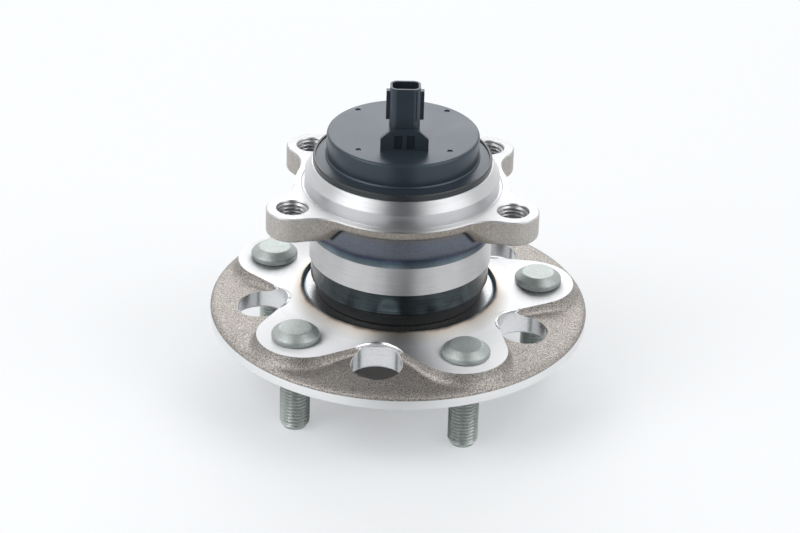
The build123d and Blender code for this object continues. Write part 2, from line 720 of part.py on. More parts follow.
def outboard_seal_lips():
    """Moulded rubber of the outboard seal: a skin over the core, one radial lip and two side lips."""
    inner_r = (SLINGER_SLEEVE_R + SEAL_SEAT_R - SEAL_STEEL) / 2
    skin_low = RING_START - LIP_SKIN
    side_tip = SLINGER_TOP + LIP_GAP
    outer_r = SEAL_BAND_D / 2 - RING_EDGE
    near_root = inner_r - LIP_TIP
    far_root = SEAL_SEAT_R - LIP_TIP
    lean = LIP_SKIN + LIP_TIP
    radial_tip_r = SLINGER_SLEEVE_R + LIP_GAP
    skin = turned([
        (inner_r - LIP_TIP, skin_low),
        (outer_r, skin_low),
        (outer_r, RING_START),
        (inner_r, RING_START),
        (inner_r, RING_START + SEAL_STEEL),
        (inner_r - LIP_TIP, RING_START + SEAL_STEEL),
    ])
    radial_lip = turned([
        (inner_r - LIP_TIP, skin_low),
        (inner_r - LIP_TIP, RING_START + SEAL_STEEL),
        (radial_tip_r, RING_START + SEAL_STEEL + LIP_SKIN),
        (radial_tip_r, RING_START + SEAL_STEEL),
    ])
    body = skin + radial_lip
    for root in (near_root, far_root):
        body += turned([
            (root, skin_low),
            (root + lean, skin_low),
            (root + lean + LIP_TIP, side_tip),
            (root + lean, side_tip),
        ])
    return solid_part(body)


def encoder_carrier():
    """Pressed steel ring on the inner ring's high shoulder, with an outward flange."""
    sleeve_r = INNER_HIGH_R + ENCODER_STEEL
    return solid_part(turned([
        (INNER_HIGH_R, INNER_RING_END - ENCODER_SLEEVE_L),
        (sleeve_r, INNER_RING_END - ENCODER_SLEEVE_L),
        (sleeve_r, ENCODER_PLATE_Z),
        (ENCODER_OUTER_D / 2, ENCODER_PLATE_Z),
        (ENCODER_OUTER_D / 2, ENCODER_PLATE_Z + ENCODER_STEEL),
        (INNER_HIGH_R, ENCODER_PLATE_Z + ENCODER_STEEL),
    ]))


def magnetic_encoder():
    """Magnetised rubber ring bonded to the carrier's flange."""
    outer_r = ENCODER_OUTER_D / 2
    low = ENCODER_PLATE_Z + ENCODER_STEEL
    return solid_part(tube(outer_r, outer_r - ENCODER_MAGNET_W, low, ENCODER_FACE_Z))


def cap_sleeve():
    """Pressed steel sleeve of the sensor cap, with a folded rim that rests on the outer ring's end."""
    rim_r = CAP_RIM_D / 2
    fold_in = rim_r - CAP_RIM_FOLD
    seat_top = RING_END + CAP_RIM_FOLD
    body = turned([
        (CAP_BORE_R, RING_END - CAP_SLEEVE_DEPTH),
        (CAP_SLEEVE_R, RING_END - CAP_SLEEVE_DEPTH),
        (CAP_SLEEVE_R, RING_END),
        (rim_r, RING_END),
        (rim_r, CAP_RIM_TOP),
        (fold_in, CAP_RIM_TOP),
        (fold_in, seat_top),
        (CAP_BORE_R, seat_top),
    ])
    rim = body.edges().filter_by(GeomType.CIRCLE).group_by(Axis.Z)[-1].sort_by(SortBy.RADIUS)[-1]
    return solid_part(fillet(rim, CAP_RIM_FOLD / 2))


def cap_seal_ring():
    """O-ring in the gland between the outer ring's end chamfer, the sleeve and its rim."""
    cord_r = SEAL_GLAND * (1 - cos(radians(SEAL_GLAND_ANGLE)))
    return solid_part(Pos(0, 0, RING_END - cord_r) * Torus(CAP_SLEEVE_R + cord_r, cord_r))


def cap_shell():
    """Turned form of the moulded cap: skirt inside the sleeve, ledge, bead and domed-edge disc."""
    cap_r = CAP_D / 2
    skirt_low = ENCODER_FACE_Z + CAP_SKIRT_GAP
    ledge_r = CAP_RIM_D / 2 - CAP_RIM_FOLD
    ledge_low = RING_END + CAP_RIM_FOLD
    bead_r = cap_r + CAP_BEAD_STEP
    outside = turned([
        (0, skirt_low),
        (CAP_BORE_R, skirt_low),
        (CAP_BORE_R, ledge_low),
        (ledge_r, ledge_low),
        (ledge_r, CAP_RIM_TOP - CAP_BEAD_STEP),
        (bead_r, CAP_RIM_TOP),
        (bead_r, CAP_RIM_TOP + CAP_BEAD_STEP),
        (cap_r, CAP_RIM_TOP + 2 * CAP_BEAD_STEP),
        (cap_r, CAP_TOP),
        (0, CAP_TOP),
    ])
    top_edge = outside.edges().filter_by(GeomType.CIRCLE).group_by(Axis.Z)[-1]
    outside = fillet(top_edge, CAP_EDGE_R)
    hollow = turned([
        (0, skirt_low),
        (CAP_HOLLOW_R, skirt_low),
        (CAP_HOLLOW_R, CAP_CEILING),
        (0, CAP_CEILING),
    ])
    return outside - hollow


def rounded_block(width, depth, corner, low, high):
    """Upright block round the connector's axis with rounded vertical corners."""
    outline = Pos(0, SOCKET_Y, low) * RectangleRounded(width, depth, corner)
    return extrude(outline, high - low)


def pedestal():
    """Shouldered foot of the connector, with two cored pockets in its front face."""
    half = PEDESTAL_W / 2
    tower_half = SOCKET_W / 2
    front = SOCKET_Y - SOCKET_DEPTH / 2 - PEDESTAL_FRONT
    back = SOCKET_Y + SOCKET_DEPTH / 2 + PEDESTAL_BACK
    outline = Polyline(
        (-half, front, CAP_TOP - CAP_EDGE_R),
        (half, front, CAP_TOP - CAP_EDGE_R),
        (half, front, CAP_TOP + PEDESTAL_SHOULDER),
        (tower_half, front, CAP_TOP + PEDESTAL_TOP),
        (-tower_half, front, CAP_TOP + PEDESTAL_TOP),
        (-half, front, CAP_TOP + PEDESTAL_SHOULDER),
        close=True,
    )
    body = extrude(make_face(outline), back - front, dir=(0, 1, 0))
    reach = (PEDESTAL_RIB + PEDESTAL_POCKET_W) / 2
    for side in (-1, 1):
        pocket = Box(PEDESTAL_POCKET_W, 2 * PEDESTAL_POCKET_DEPTH, PEDESTAL_POCKET_H)
        body -= Pos(side * reach, front, CAP_TOP + PEDESTAL_POCKET_H / 2 + CAP_BEAD_STEP) * pocket
    return body


def connector_details():
    """Two side ribs and the latch ramp on the back of the connector shroud."""
    rib_top = SOCKET_MOUTH_Z - SIDE_RIB_TOP_GAP
    rib = Box(SOCKET_W + 2 * SIDE_RIB_OUT, SIDE_RIB_T, SIDE_RIB_LENGTH)
    ribs = Pos(0, SOCKET_Y, rib_top - SIDE_RIB_LENGTH / 2) * rib
    back = SOCKET_Y + SOCKET_DEPTH / 2
    latch_top = SOCKET_MOUTH_Z - LATCH_DROP
    ramp = Polyline(
        (-LATCH_W / 2, back - SOCKET_WALL / 2, latch_top),
        (-LATCH_W / 2, back, latch_top),
        (-LATCH_W / 2, back + LATCH_OUT, latch_top - LATCH_H),
        (-LATCH_W / 2, back - SOCKET_WALL / 2, latch_top - LATCH_H),
        close=True,
    )
    return ribs + extrude(make_face(ramp), LATCH_W, dir=(1, 0, 0))


def connector_cuts():
    """Socket hollow and the keying slot in the shroud's front face."""
    hollow = rounded_block(
        SOCKET_W - 2 * SOCKET_WALL,
        SOCKET_DEPTH - 2 * SOCKET_WALL,
        SOCKET_CORNER - SOCKET_WALL,
        SOCKET_FLOOR_Z,
        SOCKET_MOUTH_Z,
    )
    front = SOCKET_Y - SOCKET_DEPTH / 2
    slot = Box(KEY_SLOT_W, 2 * KEY_SLOT_DEPTH, KEY_SLOT_LENGTH)
    key = Pos(KEY_SLOT_X, front, SOCKET_MOUTH_Z - SOCKET_WALL - KEY_SLOT_LENGTH / 2) * slot
    return hollow + key


def sensor_cap():
    """Moulded sensor cap with its connector, without the room taken by terminals and carrier."""
    shroud = rounded_block(SOCKET_W, SOCKET_DEPTH, SOCKET_CORNER, CAP_TOP - CAP_EDGE_R, SOCKET_MOUTH_Z)
    body = cap_shell() + pedestal() + shroud + connector_details()
    body -= connector_cuts()
    for x in (-EJECTOR_X, EJECTOR_X):
        for y in (EJECTOR_FAR_Y, -EJECTOR_NEAR_Y):
            body -= Pos(x, y, CAP_TOP) * Cylinder(EJECTOR_D / 2, 2 * EJECTOR_DEPTH)
    for blade in terminal_blades():
        body -= blade
    return solid_part(body)


def carrier_body():
    """Angle-shaped first-shot moulding: an arm under the cap's top and a leg down to the encoder."""
    arm_low = CAP_CEILING - CARRIER_ARM_T
    arm_back = SOCKET_Y + SOCKET_DEPTH / 2 + CARRIER_ARM_BACK
    side = Polyline(
        (0, -CARRIER_REACH, SENSOR_Z),
        (0, -CARRIER_REACH + CARRIER_T, SENSOR_Z),
        (0, -CARRIER_REACH + CARRIER_T, arm_low),
        (0, arm_back, arm_low),
        (0, arm_back, CAP_CEILING),
        (0, -CARRIER_REACH, CAP_CEILING),
        close=True,
    )
    return extrude(make_face(side), CARRIER_W / 2, dir=(1, 0, 0), both=True)


def chip_block():
    """Sensor chip at the foot of the carrier's leg, over the encoder track."""
    return Pos(0, CHIP_Y, SENSOR_Z + CHIP_H / 2) * Box(CHIP_W, CHIP_T, CHIP_H)


def terminal_blades():
    """Two bent blades: up in the socket, along the carrier's arm and down its leg to the chip."""
    blades = []
    tip = SOCKET_MOUTH_Z - TERMINAL_TOP_GAP
    arm_z = CAP_CEILING - CARRIER_ARM_T / 2
    chip_top = SENSOR_Z + CHIP_H
    leg_pitch = CHIP_W - 2 * TERMINAL_W
    for side in (-1, 1):
        x = side * TERMINAL_PITCH / 2
        leg_x = side * leg_pitch / 2
        post = Box(TERMINAL_W, TERMINAL_T, tip - arm_z)
        blade = Pos(x, SOCKET_Y, (tip + arm_z) / 2) * post
        reach = abs(x) - abs(leg_x) + TERMINAL_W
        cross = Pos((x + leg_x) / 2, SOCKET_Y, arm_z) * Box(reach, TERMINAL_W, TERMINAL_T)
        run = Box(TERMINAL_W, SOCKET_Y - CHIP_Y + TERMINAL_T, TERMINAL_T)
        blade += cross + Pos(leg_x, (SOCKET_Y + CHIP_Y) / 2, arm_z) * run
        drop = Box(TERMINAL_W, TERMINAL_T, arm_z - chip_top)
        blade += Pos(leg_x, CHIP_Y, (arm_z + chip_top) / 2) * drop
        blades.append(solid_part(blade))
    return blades


def sensor_carrier():
    """Carrier with the room for the chip and the terminals taken out."""
    body = carrier_body() - chip_block()
    for blade in terminal_blades():
        body -= blade
    return solid_part(body)


def write(name, shape):
    """Write one named piece to its STEP file."""
    export_step(shape, f"parts/{name}.step")


def main():
    """Build every piece and write it."""
    os.makedirs("parts", exist_ok=True)
    write("hub_flange", hub_flange())
    write("wheel_studs", wheel_studs())
    write("inner_ring", inner_ring())
    write("spindle_nut", spindle_nut())
    write("outboard_seal_slinger", outboard_seal_slinger())
    write("encoder_carrier", encoder_carrier())
    write("magnetic_encoder", magnetic_encoder())
    write("outer_ring", outer_ring())
    write("outboard_seal_core", outboard_seal_core())
    write("outboard_seal_lips", outboard_seal_lips())
    write("cap_sleeve", cap_sleeve())
    write("cap_seal_ring", cap_seal_ring())
    write("sensor_cap", sensor_cap())
    write("sensor_carrier", sensor_carrier())
    write("sensor_element", solid_part(chip_block()))
    write("connector_terminals", Compound(terminal_blades()))
    write("outboard_balls", ball_group(OUTBOARD_ROW_Z))
    write("inboard_balls", ball_group(INBOARD_ROW_Z))
    write("outboard_cage", cage(OUTBOARD_ROW_Z, MIDDLE_ABOVE))
    write("inboard_cage", cage(INBOARD_ROW_Z, MIDDLE_BELOW))


main()
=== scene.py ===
"""Studio scene of a flanged wheel hub bearing unit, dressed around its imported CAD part."""

import logging
import math
from collections.abc import Callable, Iterable, Sequence
from dataclasses import dataclass, field, replace
from enum import Enum
from typing import NamedTuple

import bmesh
import bpy
from mathutils import Matrix, Vector, geometry


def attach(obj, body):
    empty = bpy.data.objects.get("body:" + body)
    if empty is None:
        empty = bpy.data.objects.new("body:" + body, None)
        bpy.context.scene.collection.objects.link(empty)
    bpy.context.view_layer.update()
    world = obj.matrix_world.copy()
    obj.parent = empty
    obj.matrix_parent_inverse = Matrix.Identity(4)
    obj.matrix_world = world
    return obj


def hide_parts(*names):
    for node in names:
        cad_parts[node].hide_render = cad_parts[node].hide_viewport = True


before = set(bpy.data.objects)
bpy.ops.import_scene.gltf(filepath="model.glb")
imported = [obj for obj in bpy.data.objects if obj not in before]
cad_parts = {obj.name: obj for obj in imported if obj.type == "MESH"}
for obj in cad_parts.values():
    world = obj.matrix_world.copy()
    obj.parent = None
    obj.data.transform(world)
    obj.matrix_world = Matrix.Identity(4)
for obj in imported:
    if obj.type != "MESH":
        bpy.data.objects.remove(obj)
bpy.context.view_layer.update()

log = logging.getLogger("hub_bearing")

MM = 0.001
TURN = 2.0 * math.pi
RING_STEPS = 288
SHARP_ANGLE = math.radians(34.0)
WELD_REACH = 1e-6

Point = tuple[float, float, float]
Flat = tuple[float, float]
Loop = list[int]
Height = Callable[[float, float], float]


class Finish(Enum):
    """Finishes of the unit, each with the name of its material."""

    MACHINED_STEEL = "machined_steel"
    TINTED_CROWN = "tinted_crown"
    HARDENED_EDGE = "hardened_edge"
    TURNED_PILOT = "turned_pilot"
    FLANGE_FACE = "flange_face"
    CUT_THREAD = "cut_thread"
    RIM_CUT = "rim_cut"
    # Dark grey pilot wall: painted shade for the dark under the flange.
    PILOT_PAINTED_SHADE = "coated_pilot"
    FORGED_SKIN = "forged_skin"
    # Knuckle flange skin: real heat browning, and a paler base that is painted light.
    FORGED_FLANGE_TINT_AND_PAINTED_LIGHT = "forged_flange"
    BORED_WALL = "bored_wall"
    GROUND_BAND = "ground_band"
    DARK_BAND = "dark_band"
    HEAT_TINT = "heat_tint"
    ZINC_FLAKE = "zinc_flake"
    ZINC_THREAD = "zinc_thread"
    BEARING_STEEL = "bearing_steel"
    PHOSPHATED_NUT = "phosphated_nut"
    STAINLESS_SHEET = "stainless_sheet"
    PRESSED_SHEET = "pressed_sheet"
    BLACK_SHEET = "black_sheet"
    TINNED_BLADE = "tinned_blade"
    CAP_PLASTIC = "cap_plastic"
    CARRIER_PLASTIC = "carrier_plastic"
    CHIP_RESIN = "chip_resin"
    SEAL_RUBBER = "seal_rubber"
    ENCODER_RUBBER = "encoder_rubber"
    CAGE_POLYMER = "cage_polymer"


Finishes = dict[Finish, bpy.types.Material]


def linear(code: str) -> tuple[float, float, float, float]:
    """Turns an sRGB hex colour into linear values.

    Args:
        code: Six hex digits with a leading hash sign.

    Returns:
        Linear red, green and blue, and an alpha of 1.
    """
    values = [int(code[i : i + 2], 16) / 255.0 for i in (1, 3, 5)]
    red, green, blue = (v / 12.92 if v <= 0.04045 else ((v + 0.055) / 1.055) ** 2.4 for v in values)
    return (red, green, blue, 1.0)


def smooth_max(first: float, second: float, reach: float) -> float:
    """Larger of two heights, rounded where they meet.

    Args:
        first: One height in millimetres.
        second: The other height in millimetres.
        reach: Width of the rounding in millimetres.

    Returns:
        The blended height.
    """
    share = max(reach - abs(first - second), 0.0) / reach
    return max(first, second) + share * share * reach / 4.0


def polar(radius: float, angle: float) -> Flat:
    """Point at a radius and an angle in radians."""
    return (radius * math.cos(angle), radius * math.sin(angle))


def circle(radius: float, height: float, steps: int = RING_STEPS, centre: Flat = (0.0, 0.0)) -> list[Point]:
    """Points of a level circle.

    Args:
        radius: Radius in millimetres.
        height: Height in millimetres.
        steps: How many points.
        centre: Centre in the XY plane.

    Returns:
        The points, anticlockwise.
    """
    flat = (polar(radius, TURN * k / steps) for k in range(steps))
    return [(centre[0] + x, centre[1] + y, height) for x, y in flat]


def grid(first: float, last: float, spacing: float, step: float) -> list[Flat]:
    """Even points on circles round the Z axis, each circle turned against the one before.

    Args:
        first: Radius of the first circle.
        last: Radius that the circles stay under.
        spacing: Distance of the points along a circle.
        step: Distance of the circles.

    Returns:
        The points, circle by circle.
    """
    spots: list[Flat] = []
    radius = first
    while radius < last:
        count = int(TURN * radius / spacing)
        spots += [polar(radius, TURN * (k + radius % 1.0) / count) for k in range(count)]
        radius += step
    return spots


@dataclass(frozen=True)
class Corner:
    """Corner of a turned profile, with the radius that breaks it."""

    radius: float
    height: float
    round_off: float = 0.0


def rounded(corners: Sequence[Corner], steps: int = 5) -> list[Flat]:
    """Replaces each rounded corner of an open profile by a short arc.

    Args:
        corners: Corners in order along the profile.
        steps: Pieces of each arc.

    Returns:
        (radius, height) points of the finer profile, after the first corner.
    """
    out: list[Flat] = []
    side_share = 1.0 / 2.05
    for place, corner in enumerate(corners[1:], 1):
        here = Vector((corner.radius, corner.height))
        if corner.round_off <= 0.0 or place == len(corners) - 1:
            out.append((here.x, here.y))
            continue
        before = Vector((corners[place - 1].radius, corners[place - 1].height)) - here
        after = Vector((corners[place + 1].radius, corners[place + 1].height)) - here
        half = before.angle(after) / 2.0
        cut = min(corner.round_off / math.tan(half), before.length * side_share, after.length * side_share)
        start = here + before.normalized() * cut
        end = here + after.normalized() * cut
        for k in range(steps + 1):
            t = k / steps
            point = start * (1 - t) ** 2 + here * 2 * t * (1 - t) + end * t**2
            out.append((point.x, point.y))
    return out


def raceway(middle: Flat, first: float, last: float, radius: float = 5.7785, steps: int = 10) -> list[Flat]:
    """Arc of a ball groove in a turned profile.

    Args:
        middle: Radius and height of the arc's centre.
        first: Angle of the first point in degrees, 0 pointing outward.
        last: Angle of the last point in degrees.
        radius: Radius of the groove.
        steps: Pieces of the arc.

    Returns:
        (radius, height) points.
    """
    angles = (math.radians(first + (last - first) * k / steps) for k in range(steps + 1))
    return [(middle[0] + radius * math.cos(a), middle[1] + radius * math.sin(a)) for a in angles]


class Skin:
    """Closed surface under construction, in millimetres, with a finish for each face."""

    def __init__(self, name: str) -> None:
        """Starts an empty surface.

        Args:
            name: Name of the finished object.
        """
        self.name = name
        self.points: list[Point] = []
        self.faces: list[tuple[int, ...]] = []
        self.paints: list[Finish] = []

    def loop(self, points: Iterable[Point]) -> Loop:
        """Adds a closed loop of points.

        Args:
            points: Points in order.

        Returns:
            Their numbers.
        """
        start = len(self.points)
        self.points.extend(points)
        return list(range(start, len(self.points)))

    def band(self, low: Loop, high: Loop, paint: Finish) -> None:
        """Joins two closed loops of equal length with quads.

        Args:
            low: First loop.
            high: Second loop.
            paint: Finish of the quads.
        """
        count = len(low)
        for i in range(count):
            j = (i + 1) % count
            self.faces.append((low[i], low[j], high[j], high[i]))
            self.paints.append(paint)

    def bands(self, start: Loop, rows: Iterable[Iterable[Point]], paint: Finish) -> Loop:
        """Adds loop after loop and joins each to the one before.

        Args:
            start: Loop to continue.
            rows: Points of each further loop.
            paint: Finish of the new faces.

        Returns:
            The last loop.
        """
        for row in rows:
            following = self.loop(row)
            self.band(start, following, paint)
            start = following
        return start

    def turned(self, start: Loop, profile: Sequence[Flat], paint: Finish) -> Loop:
        """Continues a loop round the Z axis along (radius, height) points.

        Args:
            start: Loop to continue.
            profile: Points of the profile, without the start.
            paint: Finish of the new faces.

        Returns:
            The last loop.
        """
        steps = len(start)
        return self.bands(start, (circle(r, z, steps) for r, z in profile), paint)

    def close(self, loop: Loop, paint: Finish) -> None:
        """Closes a loop with a fan round its middle.

        Args:
            loop: Loop to close.
            paint: Finish of the fan.
        """
        middle = sum((Vector(self.points[i]) for i in loop), Vector()) / len(loop)
        centre = self.loop([tuple(middle)])[0]
        for place, first in enumerate(loop):
            self.faces.append((first, loop[(place + 1) % len(loop)], centre))
            self.paints.append(paint)

    def sheet(
        self,
        loops: Sequence[Loop],
        inner: Sequence[Flat],
        height: Height,
        inside: Callable[[float, float], bool],
        paint: Callable[[float, float], Finish],
    ) -> None:
        """Fills the region between loops with triangles that follow a height field.

        Args:
            loops: Closed loops that bound or cross the region.
            inner: More points inside the region.
            height: Height at a point.
            inside: Tells whether a triangle's middle lies in the region.
            paint: Finish at a triangle's middle.
        """
        weld = 1e-5
        owners = [number for loop in loops for number in loop]
        flat = [Vector(self.points[number][:2]) for number in owners] + [Vector(p) for p in inner]
        edges: list[tuple[int, int]] = []
        start = 0
        for loop in loops:
            count = len(loop)
            edges += [(start + k, start + (k + 1) % count) for k in range(count)]
            start += count
        spots, _, faces, origins = geometry.delaunay_2d_cdt(flat, edges, [], 0, weld)[:4]
        numbers: list[int] = []
        for spot, origin in zip(spots, origins):
            if origin and min(origin) < len(owners):
                numbers.append(owners[min(origin)])
            else:
                numbers.append(len(self.points))
                self.points.append((spot.x, spot.y, height(spot.x, spot.y)))
        for face in faces:
            x = sum(spots[k].x for k in face) / len(face)
            y = sum(spots[k].y for k in face) / len(face)
            if inside(x, y):
                self.faces.append(tuple(numbers[k] for k in face))
                self.paints.append(paint(x, y))

    def build(self, finishes: Finishes, body: str, node: str) -> None:
        """Makes the object, paints it and lets it stand for a CAD node.

        Args:
            finishes: Materials by finish.
            body: CAD body that the object rides on.
            node: CAD node that it stands for.
        """
        used = sorted(set(self.paints), key=lambda finish: finish.value)
        mesh = bpy.data.meshes.new(self.name)
        mesh.from_pydata([[c * MM for c in p] for p in self.points], [], self.faces)
        for finish in used:
            mesh.materials.append(finishes[finish])
        mesh.polygons.foreach_set("material_index", [used.index(finish) for finish in self.paints])
        tool = bmesh.new()
        tool.from_mesh(mesh)
        bmesh.ops.delete(tool, geom=[v for v in tool.verts if not v.link_faces], context="VERTS")
        bmesh.ops.recalc_face_normals(tool, faces=tool.faces)
        tool.to_mesh(mesh)
        tool.free()
        mesh.polygons.foreach_set("use_smooth", [True] * len(mesh.polygons))
        mesh.set_sharp_from_angle(angle=SHARP_ANGLE)
        thing = bpy.data.objects.new(self.name, mesh)
        bpy.context.scene.collection.objects.link(thing)
        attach(thing, body)
        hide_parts(node)
        log.info("%s: %d faces", self.name, len(mesh.polygons))


def thread_rows(
    root: float, crest: float, pitch: float, low: float, high: float, centre: Flat, steps: int = 56
) -> list[list[Point]]:
    """Rows of points of a screw thread, from low to high.

    Args:
        root: Radius at the bottom of the groove.
        crest: Radius at the top of the ridge. For a nut thread it is the smaller one.
        pitch: Rise in one turn.
        low: Height of the first row.
        high: Height of the last row.
        centre: Place of the axis.
        steps: Points in a row.

    Returns:
        One list of points for each row.
    """
    per_turn = 8
    flat_share = 0.14
    count = max(2, round((high - low) / pitch * per_turn))
    rows = []
    for j in range(count + 1):
        z = low + (high - low) * j / count
        fade = min(1.0, (z - low) / pitch, (high - z) / pitch)
        row = []
        for k in range(steps):
            part = (z / pitch - k / steps) % 1.0
            ridge = (abs(2.0 * part - 1.0) - flat_share) / (1.0 - 2.0 * flat_share)
            radius = root + (crest - root) * min(1.0, max(0.0, ridge)) * fade
            x, y = polar(radius, TURN * k / steps)
            row.append((centre[0] + x, centre[1] + y, z))
        rows.append(row)
    return rows


class Place(NamedTuple):
    """Object coordinates in millimetres: the vector, the radius, the angle round Z and the height."""

    vector: bpy.types.NodeSocket
    radius: bpy.types.NodeSocket
    angle: bpy.types.Node
    height: bpy.types.NodeSocket


class Graph:
    """Node tree under construction, with a single way to add a node."""

    def __init__(self, tree: bpy.types.NodeTree) -> None:
        """Clears the tree.

        Args:
            tree: Node tree to fill.
        """
        self.tree = tree
        self.tree.nodes.clear()

    def feed(self, socket: bpy.types.NodeSocket, value: object) -> None:
        """Gives an input a value, an output socket or a node's first output.

        Args:
            socket: Input to feed.
            value: Plain value, output socket, or node for its first output.
        """
        if isinstance(value, bpy.types.Node):
            value = value.outputs[0]
        if isinstance(value, bpy.types.NodeSocket):
            self.tree.links.new(value, socket)
        else:
            socket.default_value = value

    def add(self, kind: str, settings: dict[str, object] | None = None, **inputs: object) -> bpy.types.Node:
        """Adds a node with its settings and links.

        Args:
            kind: Node type.
            settings: Properties of the node.
            **inputs: What feeds each input, by its name with _ for a space, or by place as i0, i1.

        Returns:
            The new node.
        """
        node = self.tree.nodes.new(kind)
        for name, value in (settings or {}).items():
            setattr(node, name, value)
        for name, value in inputs.items():
            by_place = name[0] == "i" and name[1:].isdigit()
            self.feed(node.inputs[int(name[1:]) if by_place else name.replace("_", " ")], value)
        return node

    def place(self) -> Place:
        """Adds the nodes of the object coordinates.

        Returns:
            The coordinates' sockets.
        """
        raw = self.add("ShaderNodeTexCoord").outputs["Object"]
        vector = self.add("ShaderNodeVectorMath", {"operation": "SCALE"}, i0=raw, Scale=1.0 / MM).outputs[0]
        x, y, z = self.add("ShaderNodeSeparateXYZ", Vector=vector).outputs
        flat = self.add("ShaderNodeCombineXYZ", X=x, Y=y)
        radius = self.add("ShaderNodeVectorMath", {"operation": "LENGTH"}, i0=flat).outputs["Value"]
        angle = self.add("ShaderNodeMath", {"operation": "ARCTAN2"}, i0=y, i1=x)
        return Place(vector, radius, angle, z)


def new_material(name: str) -> tuple[bpy.types.Material, Graph]:
    """Makes an empty material.

    Args:
        name: Name of the material.

    Returns:
        The material and its graph.
    """
    material = bpy.data.materials.new(name)
    material.use_nodes = True
    return material, Graph(material.node_tree)


def set_stops(node: bpy.types.Node, stops: Sequence[tuple[float, str]]) -> None:
    """Gives a colour ramp its places and hex colours.

    Args:
        node: Colour ramp node.
        stops: Place from 0 to 1 and hex colour of each stop.
    """
    elements = node.color_ramp.elements
    while len(elements) < len(stops):
        elements.new(0.5)
    for element, (place, code) in zip(elements, stops):
        element.position = place
        element.color = linear(code)


class Grain(Enum):
    """Direction in which a surface process leaves its marks."""

    EVEN = "even"
    TURNED = "turned"


class Along(Enum):
    """Which size a colour band follows."""

    RADIUS = "radius"
    HEIGHT = "height"


@dataclass(frozen=True)
class Bands:
    """Colours that follow the radius or the height, such as the tints of a heated surface."""

    along: Along
    stops: tuple[tuple[float, str], ...]
    share: float
    waver_mm: float = 1.6
    patch_mm: float = 11.1

    def lay(self, graph: Graph, place: Place, colour: bpy.types.NodeSocket) -> bpy.types.NodeSocket:
        """Lays the bands over a colour.

        Args:
            graph: Graph of the material.
            place: Its object coordinates.
            colour: Colour below the bands.

        Returns:
            The banded colour.
        """
        value = place.radius if self.along is Along.RADIUS else place.height
        sizes = {"Scale": 1.0 / self.patch_mm, "Detail": 2.0, "Roughness": 0.6}
        noise = graph.add("ShaderNodeTexNoise", Vector=place.vector, **sizes)
        weight = {"operation": "MULTIPLY_ADD"}
        wavy = graph.add("ShaderNodeMath", weight, i0=noise, i1=self.waver_mm, i2=value)
        low, high = self.stops[0][0], self.stops[-1][0]
        shift = self.waver_mm / 2.0
        part = graph.add("ShaderNodeMapRange", Value=wavy, From_Min=low + shift, From_Max=high + shift)
        tint = graph.add("ShaderNodeValToRGB", Fac=part)
        set_stops(tint, [((mm - low) / (high - low), code) for mm, code in self.stops])
        over = graph.add("ShaderNodeMix", {"data_type": "RGBA"}, i0=self.share, i6=colour, i7=tint)
        return over.outputs[2]


